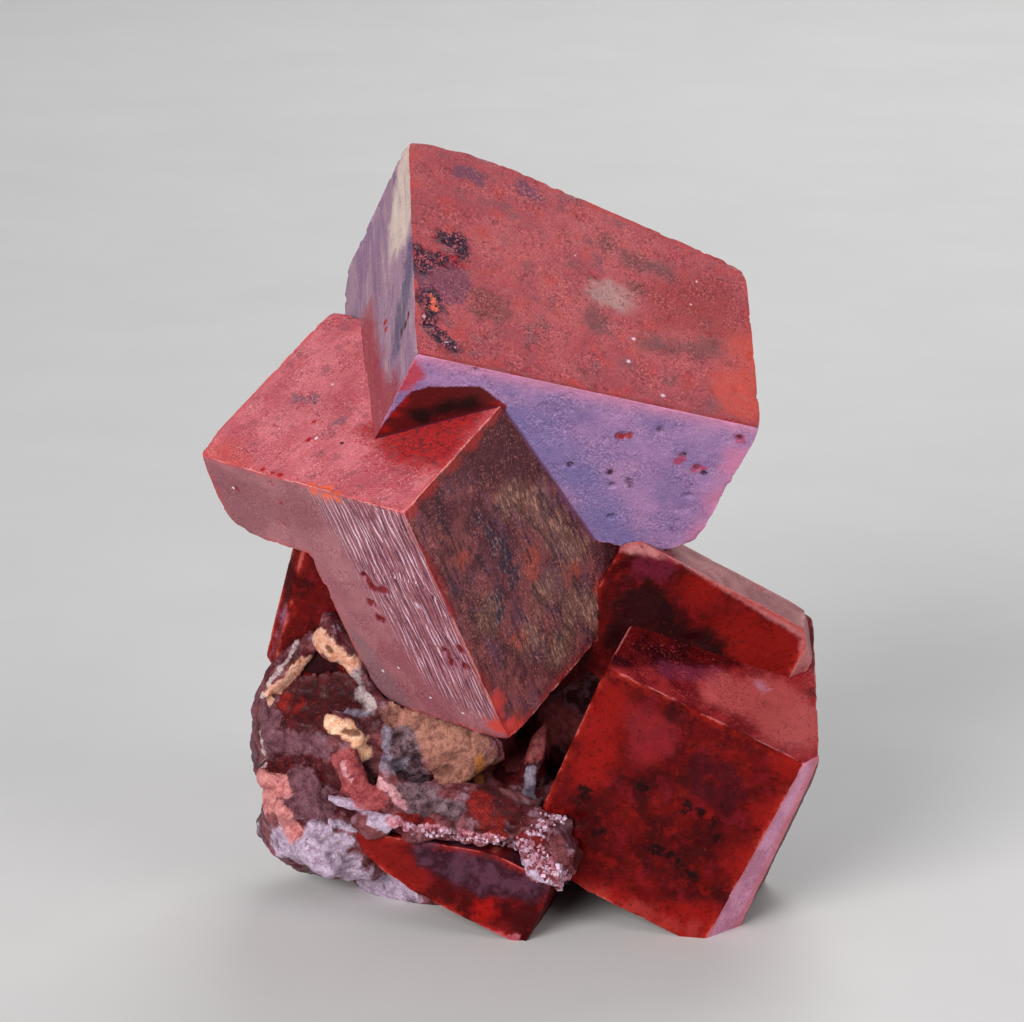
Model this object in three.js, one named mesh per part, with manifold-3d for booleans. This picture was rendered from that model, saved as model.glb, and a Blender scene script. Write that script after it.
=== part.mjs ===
// Apophyllite on matrix: blocky, nearly cubic red crystals grown on a small piece of rock.
//
// Millimetres, +Z up. The origin is on the flat face that the rock rests on, below the middle of the
// specimen. X runs to the right and Y away from the side that shows best. Every crystal is a box in its own frame, whose Z is
// the length of the prism, with bevels, tapers and notches cut in it. Crystals that grew through each
// other are joined in one solid. The rock is a heap of joined lumps, cut flat below, and it stops a
// seam short of every crystal that sits in it.

import * as THREE from "three";
import { ConvexGeometry } from "three/addons/geometries/ConvexGeometry.js";
import { mergeVertices } from "three/addons/utils/BufferGeometryUtils.js";
import Module from "manifold-3d";

const wasm = await Module();
wasm.setup();

const SEAM = 0.3; // free space between two neighbouring pieces
const STEP_BACK = 0.25; // how far the side growth lies behind the faces of its parent crystal
const TOP_STEP = 0.15; // how far it lies below its parent's top

// Prism faces carry fine ribs along the crystal. These are the grooves between them: how many, how far
// apart, and which part of the face's length they take up.
const frontGrooves = { face: "-x", count: 11, first: 0.7, pitch: 0.68, share: 0.82, depth: 0.22 };
const rearGrooves = { face: "+y", count: 7, first: 1.6, pitch: 2.1, share: 0.6, depth: 0.25 };
const topSideGrooves = { face: "+x", count: 6, first: 1.5, pitch: 2.2, share: 0.55, depth: 0.25 };
const topRearGrooves = { face: "+y", count: 8, first: 2.2, pitch: 3.1, share: 0.6, depth: 0.3 };
const GROOVE_WIDTH = 0.4;

// A crystal is size [x, y, z] about centre, turned by angles in degrees about x, y and z. A cut is a
// flat face looking towards a direction of the crystal's own frame, depth below the box's corner.
const topCrystal = {
  size: [28.9, 16.5, 23.9],
  centre: [4.9, 0, 46.5],
  turn: [-56.8, -2.3, 19.7],
  cuts: [
    { towards: [0.28, 0, 1], depth: 6.0 },
    { towards: [1, -0.25, 0.4], depth: 1.4 },
    { towards: [1, 1, -1], depth: 1.5 },
  ],
};

const middleCrystal = {
  size: [18.2, 14.4, 25.5],
  centre: [-2.3, -5.9, 32.7],
  turn: [25.4, -18.7, 51.7],
  cuts: [
    { towards: [1, 1, -1], depth: 2 },
    { towards: [-1, 1, -0.3], depth: 0.7 },
  ],
};

// The side growth shares the middle crystal's frame and runs on to the left at its top.
const sideGrowth = {
  size: [18.2 - 2 * STEP_BACK, 23.0, 8.6],
  centre: [-8.2, -6.5, 40.0],
  turn: middleCrystal.turn,
  cuts: [
    { towards: [0, 0, 1], depth: TOP_STEP },
    { towards: [-1, 1, 0.1], depth: 0.5 },
    { towards: [-0.5, 0.6, -1], depth: 1.1 },
  ],
};

const rightCrystal = {
  size: [18.7, 15.0, 25.2],
  centre: [17.4, -2.9, 13.5],
  turn: [4.4, 23.1, -13.4],
  cuts: [
    { towards: [0, -0.47, 1], depth: 6.4 },
    { towards: [0.88, -0.47, -0.05], depth: 1.8 },
    { towards: [0.9, 0.2, 0.4], depth: 5.4 },
    { towards: [1, -0.4, -1], depth: 1.2 },
    { towards: [-0.67, 0, -0.74], depth: 3.2 },
  ],
};

const backCrystal = {
  size: [18.6, 6.0, 12.0],
  centre: [16.9, -1.1, 22.7],
  turn: [4.7, 28.1, -3.5],
  cuts: [
    { towards: [1, -1, 0], depth: 0.9 },
    { towards: [1, 0, 0.8], depth: 1.7 },
    { towards: [0, 1, 1], depth: 0.8 },
  ],
};

const lowerCrystal = {
  size: [16.5, 10.0, 6.2],
  centre: [-2.1, -5.3, 5.5],
  turn: [4.4, 23.1, -13.4],
  cuts: [
    { towards: [-0.3, 0, -1], depth: 1.5 },
    { towards: [-0.33, 0, 1], depth: 3.4 },
  ],
};

const leftCrystal = {
  size: [7.0, 7.0, 12.0],
  centre: [-13.2, 3.6, 24.6],
  turn: [4.0, 14.0, -14.0],
  cuts: [{ towards: [-1, -1, 0], depth: 0.8 }],
};

// Notches: [face, across, along, length, width, depth, turn in degrees]. A face is an axis with its
// sign. Across and along are places on it, in the order of the two axes left. A notch with a depth
// below zero is a low ledge that stands on the face.
const topNotches = [
  ["-y", -12.6, 3.4, 3.4, 1.6, 0.5, 60],
  ["-y", -10.2, 4.6, 2.4, 1.3, 0.4, -20],
  ["-y", -12.9, -2.4, 3.8, 0.9, 0.5, 70],
  ["-y", -11.2, -5.8, 3.0, 0.7, 0.4, 25],
  ["-y", -13.3, -8.6, 2.8, 0.8, 0.45, 50],
  ["-z", 3.2, -3.2, 1.9, 0.6, 0.35, 12],
  ["-z", 8.4, 1.6, 2.0, 1.0, 0.4, 10],
  ["-z", -2.6, 1.6, 0.9, 0.5, 0.3, 30],
  ["-z", 11.4, -5.6, 1.4, 0.9, 0.3, 0],
  ["-x", -5.6, -3.5, 4.2, 0.8, 0.35, 84],
  ["+x", -2.0, -5.5, 9.0, 7.0, -0.3, 90],
  ["+x", 4.6, 2.0, 1.6, 1.2, 0.4, 30],
  ["+y", -1.0, -6.0, 8.0, 13.0, -0.35, 90],
  ["+y", 6.0, -5.0, 2.0, 1.4, 0.45, 15],
  ["+y", 8.0, -3.2, 1.4, 1.1, 0.4, 70],
];

const middleNotches = [
  ["-x", -1.0, 4.6, 1.5, 1.3, 0.6, 20],
  ["-x", -1.6, 2.9, 1.8, 1.0, 0.5, -40],
  ["-x", -5.7, -5.6, 1.3, 1.1, 0.55, 15],
  ["-x", -6.2, -7.0, 1.4, 1.0, 0.5, -35],
  ["-x", 2.8, 8.6, 1.2, 0.9, 0.4, 50],
  ["-y", -1.2, 2.6, 6.5, 1.0, 0.4, 84],
  ["-y", -2.2, -2.6, 3.4, 1.1, 0.45, 78],
  ["-y", 1.0, 0.2, 5.0, 0.6, 0.35, 88],
  ["-y", 3.8, -4.4, 4.4, 0.6, 0.3, 80],
  ["+y", -3.0, 4.0, 1.8, 1.2, 0.45, 20],
];

const rightNotches = [
  ["-y", 3.0, -5.6, 3.0, 1.0, 0.4, 15],
  ["-y", 4.6, -7.6, 1.5, 1.2, 0.5, 60],
  ["-y", 3.4, 0.6, 2.6, 1.6, 0.4, -30],
  ["+y", -1.0, -3.0, 8.0, 9.0, -0.3, 90],
  ["+y", 4.6, -7.0, 1.8, 1.2, 0.4, 40],
];

// The rock's lumps: [x, y, z, radius across, radius deep, radius high, tilt in degrees]. A tilt turns
// the lump in the plane that faces the front.
const bigLumps = [
  [-7.8, 5.6, 13.2, 12.4, 10.6, 11.6, 10],
  [0.4, 13.6, 17.6, 13.6, 8.6, 14.4, 0],
  [12.6, 9.6, 9.4, 10.2, 8.0, 9.6, 0],
  [-1.0, 6.0, 3.8, 12.2, 10.6, 8.4, 0],
  [-11.6, 2.6, 6.8, 8.4, 8.6, 6.8, 20],
];

const smallLumps = [
  [-16.2, 0.6, 20.0, 1.2, 1.7, 4.8, 40],
  [-12.6, -1.4, 22.6, 1.7, 1.9, 2.2, -20],
  [-11.0, -2.2, 20.8, 1.1, 1.5, 3.8, -32],
  [-17.6, 1.6, 14.2, 2.2, 3.0, 3.0, 0],
  [-11.6, -4.8, 15.9, 1.5, 1.6, 2.5, -52],
  [-8.3, -3.9, 14.6, 1.5, 1.6, 2.4, -15],
  [-3.0, -2.6, 13.6, 4.6, 2.6, 3.5, 20],
  [-11.2, -4.9, 12.4, 1.5, 1.5, 2.6, -25],
  [-7.9, -5.4, 11.6, 0.9, 1.2, 2.2, -32],
  [-10.4, -6.4, 10.2, 3.4, 1.2, 0.8, 14],
  [-17.6, -0.8, 11.0, 1.8, 2.2, 1.9, 10],
  [-15.8, -3.0, 8.6, 2.2, 2.4, 1.7, 35],
  [-12.8, -4.2, 5.6, 3.4, 2.6, 2.6, 15],
  [4.0, -0.4, 11.6, 1.4, 1.8, 4.4, 10],
  [-2.4, -6.2, 9.2, 9.8, 4.0, 2.8, 7],
  [4.6, -8.4, 8.2, 2.6, 3.2, 2.2, 0],
];

// Knobs stick out of the rock's rear: how many, the ring that they are strewn on, and their radius.
const KNOBS = { count: 5, middle: [0.5, 8.0, 12.5], ring: [14.0, 10.0, 8.5], radius: 3.9 };

// A crust of small grains runs along the top edge of the lower crystal: [x, y, z] from end to end.
const crustStart = [-10.6, -9.2, 9.6];
const crustEnd = [4.6, -10.9, 8.2];
const CRUST = { count: 10, radius: 1.05, spread: 0.5 };

// Small blocks of the same mineral fill the corner between the lower and the right crystal.
const DRUSE = { centre: [5.3, -10.6, 7.2], count: 10, edge: 1.8, spread: 1.4 };

const hollow = { at: [-13.4, -3.0, 18.8], radii: [2.6, 3.0, 2.0] }; // between the arms of the cream vein

// Broken faces on a lump: how many, how far out they lie as a share of its radius, and how much that
// varies. The lump's skin is then made uneven at two scales, both shares of its radius too.
const BREAKS = { count: 15, reach: 0.79, vary: 0.07 };
const UNEVEN = [{ height: 0.09, scale: 0.55 }, { height: 0.05, scale: 0.24 }];

// How finely each kind of lump is divided.
const DETAIL = { big: 4, small: 2, crust: 1 };

const FLOOR = 200; // side of the block that cuts everything off at the resting face

// Repeatable noise: a lattice of values, blended smoothly.
function latticeValue(x, y, z) {
  let h = Math.imul(x, 374761393) + Math.imul(y, 668265263) + Math.imul(z, 2147483647);
  h = Math.imul(h ^ (h >>> 13), 1274126177);
  return (((h ^ (h >>> 16)) >>> 0) / 4294967295) * 2 - 1;
}

function noise(point, scale, seed) {
  const p = [point.x / scale + seed, point.y / scale - seed, point.z / scale + 2 * seed];
  const base = p.map(Math.floor);
  const blend = p.map((v, i) => (v - base[i]) ** 2 * (3 - 2 * (v - base[i])));
  let sum = 0;
  for (let corner = 0; corner < 8; corner++) {
    const step = [corner & 1, (corner >> 1) & 1, corner >> 2];
    const share = step.reduce((s, on, i) => s * (on ? blend[i] : 1 - blend[i]), 1);
    sum += share * latticeValue(...base.map((v, i) => v + step[i]));
  }
  return sum;
}

function turnedFrame({ centre, turn }) {
  const angles = turn.map(THREE.MathUtils.degToRad);
  const frame = new THREE.Matrix4().makeRotationFromEuler(new THREE.Euler(...angles, "XYZ"));
  return frame.setPosition(...centre);
}

function toManifold(geometry) {
  const bare = geometry.clone();
  bare.deleteAttribute("normal");
  bare.deleteAttribute("uv");
  const merged = mergeVertices(bare, 1e-5);
  return new wasm.Manifold(new wasm.Mesh({
    numProp: 3,
    vertProperties: new Float32Array(merged.attributes.position.array),
    triVerts: new Uint32Array(merged.index.array),
  }));
}

function joined(solids) {
  return solids.reduce((whole, solid) => whole.add(solid));
}

function without(solid, ...takenAway) {
  return takenAway.reduce((rest, tool) => rest.subtract(tool), solid);
}

function largestPiece(solid) {
  return solid.decompose().reduce((a, b) => (b.volume() > a.volume() ? b : a));
}

// The planes that bound a crystal, each { normal, reach } in its own frame.
function facePlanes({ size, cuts }, swell) {
  const half = size.map((s) => s / 2);
  const planes = [];
  for (let axis = 0; axis < 3; axis++) {
    for (const sign of [-1, 1]) {
      const normal = new THREE.Vector3().setComponent(axis, sign);
      planes.push({ normal, reach: half[axis] + swell });
    }
  }
  for (const { towards, depth } of cuts) {
    const normal = new THREE.Vector3(...towards).normalize();
    const corner = half.reduce((sum, h, axis) => sum + h * Math.abs(normal.getComponent(axis)), 0);
    planes.push({ normal, reach: corner - depth + swell });
  }
  return planes;
}

function cornersOf(planes) {
  const corners = [];
  for (let a = 0; a < planes.length; a++) {
    for (let b = a + 1; b < planes.length; b++) {
      for (let c = b + 1; c < planes.length; c++) {
        const [p, q, r] = [planes[a], planes[b], planes[c]];
        const qr = new THREE.Vector3().crossVectors(q.normal, r.normal);
        const volume = p.normal.dot(qr);
        if (Math.abs(volume) < 1e-6) continue;
        const corner = qr.multiplyScalar(p.reach)
          .addScaledVector(new THREE.Vector3().crossVectors(r.normal, p.normal), q.reach)
          .addScaledVector(new THREE.Vector3().crossVectors(p.normal, q.normal), r.reach)
          .divideScalar(volume);
        if (planes.every(({ normal, reach }) => normal.dot(corner) < reach + 1e-6)) {
          corners.push(corner);
        }
      }
    }
  }
  return corners;
}

function crystal(spec, swell = 0) {
  const geometry = new ConvexGeometry(cornersOf(facePlanes(spec, swell)));
  return toManifold(geometry.applyMatrix4(turnedFrame(spec)));
}

// A notch is a sunken wedge with its mouth on the face and a ridge line at its bottom. A ledge is a low
// four-sided step with one corner missing, a little narrower at its top.
const notchOutline = [[-1, 0], [-0.5, 0.5], [0.55, 0.5], [1, 0], [0.45, -0.5], [-0.6, -0.5]];
const notchFloor = [[-0.45, 0.05], [0.4, -0.05]];
const ledgeOutline = [[-1, 0.5], [0.7, 0.5], [1, 0.3], [1, -0.5], [-1, -0.5]];
const LEDGE_TAPER = 0.96;
const OVERRUN = 0.1; // how far either one runs past the face

function faceForm(spec, [face, across, along, length, width, depth, turn]) {
  const axis = "xyz".indexOf(face[1]);
  const sign = face[0] === "-" ? -1 : 1;
  const [u, v] = [0, 1, 2].filter((i) => i !== axis);
  const angle = THREE.MathUtils.degToRad(turn);
  const isLedge = depth < 0;
  const base = isLedge ? ledgeOutline : notchOutline;
  const top = isLedge ? ledgeOutline.map((at) => at.map((v) => v * LEDGE_TAPER)) : notchFloor;
  const corners = [...base.map((at) => [...at, isLedge ? -OVERRUN : OVERRUN]),
    ...top.map((at) => [...at, -depth])];
  const points = corners.map(([l, w, rise]) => {
    const [x, y] = [l * length / 2, w * width];
    const point = new THREE.Vector3();
    point.setComponent(axis, sign * (spec.size[axis] / 2 + rise));
    point.setComponent(u, across + x * Math.cos(angle) - y * Math.sin(angle));
    point.setComponent(v, along + x * Math.sin(angle) + y * Math.cos(angle));
    return point;
  });
  return toManifold(new ConvexGeometry(points).applyMatrix4(turnedFrame(spec)));
}

function grooves({ size }, { face, count, first, pitch, share, depth }) {
  const across = size[face[1] === "x" ? 1 : 0];
  const tall = size[2];
  return Array.from({ length: count }, (_, i) => {
    const length = tall * share * (1 - 0.055 * i * share + 0.14 * Math.sin(2.4 * i));
    const along = tall / 2 - length / 2 - 0.6 - 0.5 * Math.cos(1.7 * i);
    return [face, first + pitch * i - across / 2, along, length, GROOVE_WIDTH, depth, 90];
  });
}

// A crystal with its notches sunk in it and its ledges on it.
function finished(spec, forms) {
  const ledges = forms.filter((form) => form[5] < 0).map((form) => faceForm(spec, form));
  const notches = forms.filter((form) => form[5] > 0).map((form) => faceForm(spec, form));
  return { whole: joined([crystal(spec), ...ledges]), notches };
}

function brokenFaces(seed) {
  return Array.from({ length: BREAKS.count }, (_, i) => ({
    towards: new THREE.Vector3(...[1, 2, 3].map((k) => latticeValue(i, seed, k))).normalize(),
    reach: BREAKS.reach + BREAKS.vary * latticeValue(i, seed, 4),
  }));
}

function lump([x, y, z, across, deep, high, tilt], detail, seed) {
  const sphere = new THREE.IcosahedronGeometry(1, detail);
  const ball = mergeVertices(sphere.deleteAttribute("normal").deleteAttribute("uv"), 1e-4);
  const position = ball.attributes.position;
  const point = new THREE.Vector3();
  for (let i = 0; i < position.count; i++) {
    point.fromBufferAttribute(position, i);
    for (const { towards, reach } of brokenFaces(seed)) {
      point.addScaledVector(towards, -Math.max(0, point.dot(towards) - reach));
    }
    const rough = UNEVEN.reduce((sum, { height, scale }, k) =>
      sum + height * noise(point, scale, seed + 3 * k), 0);
    point.multiplyScalar(1 + rough);
    position.setXYZ(i, point.x, point.y, point.z);
  }
  ball.scale(across, deep, high);
  ball.rotateY(THREE.MathUtils.degToRad(tilt));
  ball.translate(x, y, z);
  return toManifold(ball);
}

function knobs() {
  return Array.from({ length: KNOBS.count }, (_, i) => {
    const around = Math.PI * (0.06 + (0.88 * i) / (KNOBS.count - 1));
    const rise = 0.75 * Math.sin(2.3 * i + 0.6);
    const level = Math.sqrt(1 - rise * rise);
    const [x, y, z] = [Math.cos(around) * level, Math.sin(around) * level, rise]
      .map((v, axis) => KNOBS.middle[axis] + KNOBS.ring[axis] * v);
    const radius = KNOBS.radius * (1 + 0.35 * latticeValue(i, 6, 31));
    const tilt = 60 * latticeValue(i, 7, 32);
    return lump([x, y, z, radius * 1.2, radius, radius * 0.8, tilt], DETAIL.small, 70 + i);
  });
}

function crustLumps() {
  return Array.from({ length: CRUST.count }, (_, i) => {
    const share = i / (CRUST.count - 1);
    const [x, y, z] = crustStart.map((s, axis) => s + (crustEnd[axis] - s) * share
      + CRUST.spread * latticeValue(i, axis, 11));
    const radius = CRUST.radius * (1 + 0.3 * latticeValue(i, 5, 12));
    return lump([x, y, z, radius * 1.3, radius * 1.2, radius, 20], DETAIL.crust, 40 + i);
  });
}

function druseBlocks() {
  return Array.from({ length: DRUSE.count }, (_, i) => {
    const edge = DRUSE.edge * (1 + 0.35 * latticeValue(i, 2, 21));
    return crystal({
      size: [edge, edge, edge],
      centre: DRUSE.centre.map((c, axis) => c + DRUSE.spread * latticeValue(i, axis, 22)),
      turn: [0, 1, 2].map((axis) => 45 * latticeValue(i, axis, 23)),
      cuts: [],
    });
  });
}

function grownTogether(parts) {
  return without(joined(parts.map(({ whole }) => whole)), ...parts.flatMap(({ notches }) => notches));
}

const floorBlock = toManifold(new THREE.BoxGeometry(FLOOR, FLOOR, FLOOR).translate(0, 0, -FLOOR / 2));

const upperSpecs = [topCrystal, middleCrystal, sideGrowth];
const upperParts = [
  finished(topCrystal, [...topNotches, ...grooves(topCrystal, topSideGrooves),
    ...grooves(topCrystal, topRearGrooves)]),
  finished(middleCrystal, [...middleNotches, ...grooves(middleCrystal, frontGrooves),
    ...grooves(middleCrystal, rearGrooves)]),
  finished(sideGrowth, []),
];
const rightParts = [finished(rightCrystal, rightNotches), finished(backCrystal, [])];
const upperSpace = joined(upperSpecs.map((spec) => crystal(spec, SEAM)));
const rightSpace = joined([rightCrystal, backCrystal].map((spec) => crystal(spec, SEAM)));
const lowerSpace = crystal(lowerCrystal, SEAM);
const leftSpace = crystal(leftCrystal, SEAM);

const upperSolid = grownTogether(upperParts);
const rightSolid = without(grownTogether(rightParts), upperSpace, floorBlock);
const lowerSolid = without(crystal(lowerCrystal), rightSpace, upperSpace, floorBlock);
const leftSolid = without(crystal(leftCrystal), upperSpace);

const rockLumps = [
  ...bigLumps.map((spec, i) => lump(spec, DETAIL.big, 3 + i)),
  ...smallLumps.map((spec, i) => lump(spec, DETAIL.small, 20 + i)),
  ...knobs(),
  ...crustLumps(),
  ...druseBlocks(),
];
const hollowTool = lump([...hollow.at, ...hollow.radii, 0], DETAIL.small, 60);
const rockSolid = without(joined(rockLumps), hollowTool, upperSpace, rightSpace, lowerSpace,
  leftSpace, floorBlock);

function piece(name, solid, colour, roughness) {
  const { vertProperties, triVerts } = largestPiece(solid).getMesh();
  const geometry = new THREE.BufferGeometry();
  geometry.setAttribute("position", new THREE.BufferAttribute(vertProperties, 3));
  geometry.setIndex(new THREE.BufferAttribute(triVerts, 1));
  const material = new THREE.MeshStandardMaterial({ color: colour, roughness, metalness: 0 });
  const mesh = new THREE.Mesh(geometry, material);
  mesh.name = name;
  return mesh;
}

const specimen = new THREE.Group();
specimen.add(
  piece("upper_crystals", upperSolid, 0xa8505a, 0.42),
  piece("right_crystals", rightSolid, 0x7c0c0a, 0.3),
  piece("lower_crystal", lowerSolid, 0x7c0c0a, 0.3),
  piece("left_crystal", leftSolid, 0x5c1412, 0.35),
  piece("matrix", rockSolid, 0x7a5a58, 0.6),
);

export default specimen;
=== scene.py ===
# %% [markdown]
# # A cluster of blocky red crystals on rock
#
# The real object is a hand-sized mineral specimen: three pale red crystals grown through each other,
# two deep red ones at the lower right, a low one in front, a small one at the left, and the rock
# that they grew on. The model from the workshop gives every piece at its real size. This script
# gives each one its skin: faces with ribs, pits and worn edges, and the rough, patchy rock.

# %% Load the frame
import math
from itertools import combinations

import bmesh
import bpy
import numpy as np
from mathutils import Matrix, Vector
from mathutils.bvhtree import BVHTree
from mathutils.geometry import delaunay_2d_cdt


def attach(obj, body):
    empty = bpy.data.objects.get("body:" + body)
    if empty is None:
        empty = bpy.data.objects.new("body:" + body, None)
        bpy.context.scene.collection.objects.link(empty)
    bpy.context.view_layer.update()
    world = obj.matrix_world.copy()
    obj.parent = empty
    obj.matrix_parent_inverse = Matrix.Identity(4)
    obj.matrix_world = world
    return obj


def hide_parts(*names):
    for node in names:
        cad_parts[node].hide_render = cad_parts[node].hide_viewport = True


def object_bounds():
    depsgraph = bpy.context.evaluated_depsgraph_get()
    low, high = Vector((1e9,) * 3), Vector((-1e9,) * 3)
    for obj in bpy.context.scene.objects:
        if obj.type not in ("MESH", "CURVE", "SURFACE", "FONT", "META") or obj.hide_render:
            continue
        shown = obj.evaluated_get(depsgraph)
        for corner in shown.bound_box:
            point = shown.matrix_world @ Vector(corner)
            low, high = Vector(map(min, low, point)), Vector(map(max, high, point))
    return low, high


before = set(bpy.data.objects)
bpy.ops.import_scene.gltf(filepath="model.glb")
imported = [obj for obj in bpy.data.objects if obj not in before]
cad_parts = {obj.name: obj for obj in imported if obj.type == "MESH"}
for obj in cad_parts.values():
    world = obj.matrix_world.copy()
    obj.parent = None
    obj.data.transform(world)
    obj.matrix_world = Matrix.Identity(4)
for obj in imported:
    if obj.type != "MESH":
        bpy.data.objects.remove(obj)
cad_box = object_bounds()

MM = 0.001  # everything is worked out in millimetres and written to Blender in metres
print("nodes:", sorted(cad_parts))

# %% [markdown]
# ## Where the eye is
#
# The specimen was photographed from a little above with a long lens, so that parallel edges stay
# nearly parallel. A camera could be placed by eye. Here it is placed by its distance and its tilt,
# because the same numbers then turn a pixel of the picture into a ray, and every pit and patch
# below is put where that ray meets the surface.

# %% The camera
PICTURE = (1024, 1022)
PIXELS_AT_ONE = 5000.0  # focal length in pixels
DISTANCE = 400.0
TILT = math.radians(15)
AIM = np.array([2.0, -8.0, 35.2])
SENSOR = 36.0

ahead = np.array([0, math.cos(TILT), -math.sin(TILT)])
upwards = np.array([0, math.sin(TILT), math.cos(TILT)])
eye = AIM - DISTANCE * ahead

camera = bpy.data.objects.new("camera", bpy.data.cameras.new("camera"))
camera.data.sensor_width = SENSOR
camera.data.lens = PIXELS_AT_ONE * SENSOR / PICTURE[0]
camera.data.clip_start = 0.01
camera.location = eye * MM
camera.rotation_euler = (math.pi / 2 - TILT, 0, 0)
bpy.context.scene.collection.objects.link(camera)
bpy.context.scene.camera = camera


def sight(x, y):
    """The direction in which the pixel x, y of the picture is seen."""
    right = np.array([1.0, 0, 0])
    ray = right * (x - PICTURE[0] / 2) - upwards * (y - PICTURE[1] / 2) + ahead * PIXELS_AT_ONE
    return ray / np.linalg.norm(ray)


print("camera lens, mm:", round(camera.data.lens, 1), "at", np.round(eye, 1))

# %% [markdown]
# ## Noise that is the same on every run
#
# Natural surfaces vary at several sizes at once. Blender's displacement textures could do it, but
# plain arrays of numbers let one function shape the mesh and also mark where the colours go. The
# noise is a grid of fixed random values, blended smoothly, and it is laid over itself at smaller and
# smaller sizes.

# %% Noise in plain numbers
TURNED = np.array([[0.36, 0.48, -0.8], [-0.8, 0.6, 0.0], [0.48, 0.64, 0.6]])


def lattice(cell, seed):
    """A random value from -1 to 1 for each whole-numbered cell."""
    x, y, z = (cell.astype(np.int64) & 0xFFFFFFFF).astype(np.uint32).T
    h = x * np.uint32(374761393) + y * np.uint32(668265263) + z * np.uint32(2246822519)
    h = h + np.uint32(seed * 974711 % 2**32)
    h = (h ^ (h >> np.uint32(13))) * np.uint32(1274126177)
    h = (h ^ (h >> np.uint32(15))) * np.uint32(2654435761)
    return (h ^ (h >> np.uint32(16))) / 2.0**31 - 1


def noise(points, size, seed=0):
    """Smooth noise from -1 to 1. Size is the width of one bump, in mm, or one for each axis."""
    q = points @ TURNED.T / size if np.isscalar(size) else points / np.array(size)
    base = np.floor(q)
    part = q - base
    blend = part**3 * (part * (part * 6 - 15) + 10)
    total = np.zeros(len(points))
    for corner in range(8):
        step = np.array([corner & 1, corner >> 1 & 1, corner >> 2])
        share = np.prod(np.where(step, blend, 1 - blend), axis=1)
        total += share * lattice(base + step, seed)
    return total


def layered(points, size, seed=0, layers=4, gain=0.5):
    """Noise laid over itself, each layer half as wide and gain times as strong."""
    total, strength = np.zeros(len(points)), 0.0
    size = np.array(size) if not np.isscalar(size) else size
    for layer in range(layers):
        total += gain**layer * noise(points, size / 2**layer, seed + 17 * layer)
        strength += gain**layer
    return total / strength * 1.5


def grains(points, size, seed=0):
    """The distance to the nearest of many strewn points, in widths, and that point's own value."""
    q = points / size
    base = np.floor(q)
    nearest, value = np.full(len(points), 9.0), np.zeros(len(points))
    for step in np.ndindex(3, 3, 3):
        cell = base + np.array(step) - 1
        seat = cell + 0.5 + 0.42 * np.stack([lattice(cell, seed + k) for k in (1, 2, 3)], axis=1)
        away = np.linalg.norm(q - seat, axis=1)
        closer = away < nearest
        nearest = np.where(closer, away, nearest)
        value = np.where(closer, lattice(cell, seed + 4), value)
    return nearest, value


def smooth(value, low, high):
    """0 below low, 1 above high, and an even swing between them."""
    t = np.clip((value - low) / (high - low), 0, 1)
    return t * t * (3 - 2 * t)


print("noise spreads", np.round(noise(np.random.default_rng(1).uniform(0, 50, (999, 3)), 2.0).std(), 2))

# %% [markdown]
# ## Crystals as flat faces
#
# A crystal is bounded by flat planes, so each one is described as the workshop does: a box in its
# own frame, with some corners cut by further planes. Modelling a cube and bevelling it would round
# every edge alike. Instead each face becomes a sheet of fine triangles that can carry ribs and
# pits, with the points along an edge shared by both of its faces, so that the skin stays closed.

# %% The crystals' sizes
TOP = {
    "size": (28.9, 16.5, 23.9),
    "centre": (4.9, 0, 46.5),
    "turn": (-56.8, -2.3, 19.7),
    "cuts": [((0.28, 0, 1), 6.0), ((1, -0.25, 0.4), 1.4), ((1, 1, -1), 1.5)],
}
MIDDLE = {
    "size": (18.2, 14.4, 25.5),
    "centre": (-2.3, -5.9, 32.7),
    "turn": (25.4, -18.7, 51.7),
    "cuts": [((1, 1, -1), 2.0), ((-1, 1, -0.3), 0.7)],
}
STEP = 0.06  # how far the side growth lies behind the faces of its parent
SIDE_GROWTH = {
    "size": (MIDDLE["size"][0] - 2 * STEP, 23.0, 8.6),
    "centre": (-8.2, -6.5, 40.0),
    "turn": MIDDLE["turn"],
    "cuts": [((0, 0, 1), 0.05), ((-1, 1, 0.1), 0.5), ((-0.5, 0.6, -1), 1.1), ((0, -1, 0), 2.0)],
}
RIGHT = {
    "size": (18.7, 15.0, 25.2),
    "centre": (17.4, -2.9, 13.5),
    "turn": (4.4, 23.1, -13.4),
    "cuts": [
        ((0, -0.47, 1), 6.4),
        ((0.88, -0.47, -0.05), 1.8),
        ((0.9, 0.2, 0.4), 5.4),
        ((1, -0.4, -1), 1.2),
        ((-0.67, 0, -0.74), 3.2),
    ],
}
BEHIND = {
    "size": (18.6, 6.0, 12.0),
    "centre": (16.9, -1.1, 22.7),
    "turn": (4.7, 28.1, -3.5),
    "cuts": [((1, -1, 0), 0.9), ((1, 0, 0.8), 1.7), ((0, 1, 1), 0.8)],
}
LOWER = {
    "size": (16.5, 10.0, 6.2),
    "centre": (-2.1, -5.3, 5.5),
    "turn": (4.4, 23.1, -13.4),
    "cuts": [((-0.3, 0, -1), 1.5), ((-0.33, 0, 1), 3.4)],
}
LEFT = {
    "size": (7.0, 7.0, 12.0),
    "centre": (-13.2, 3.6, 24.6),
    "turn": (4.0, 14.0, -14.0),
    "cuts": [((-1, -1, 0), 0.8)],
}
FACES = ["-x", "+x", "-y", "+y", "-z", "+z"]


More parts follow.
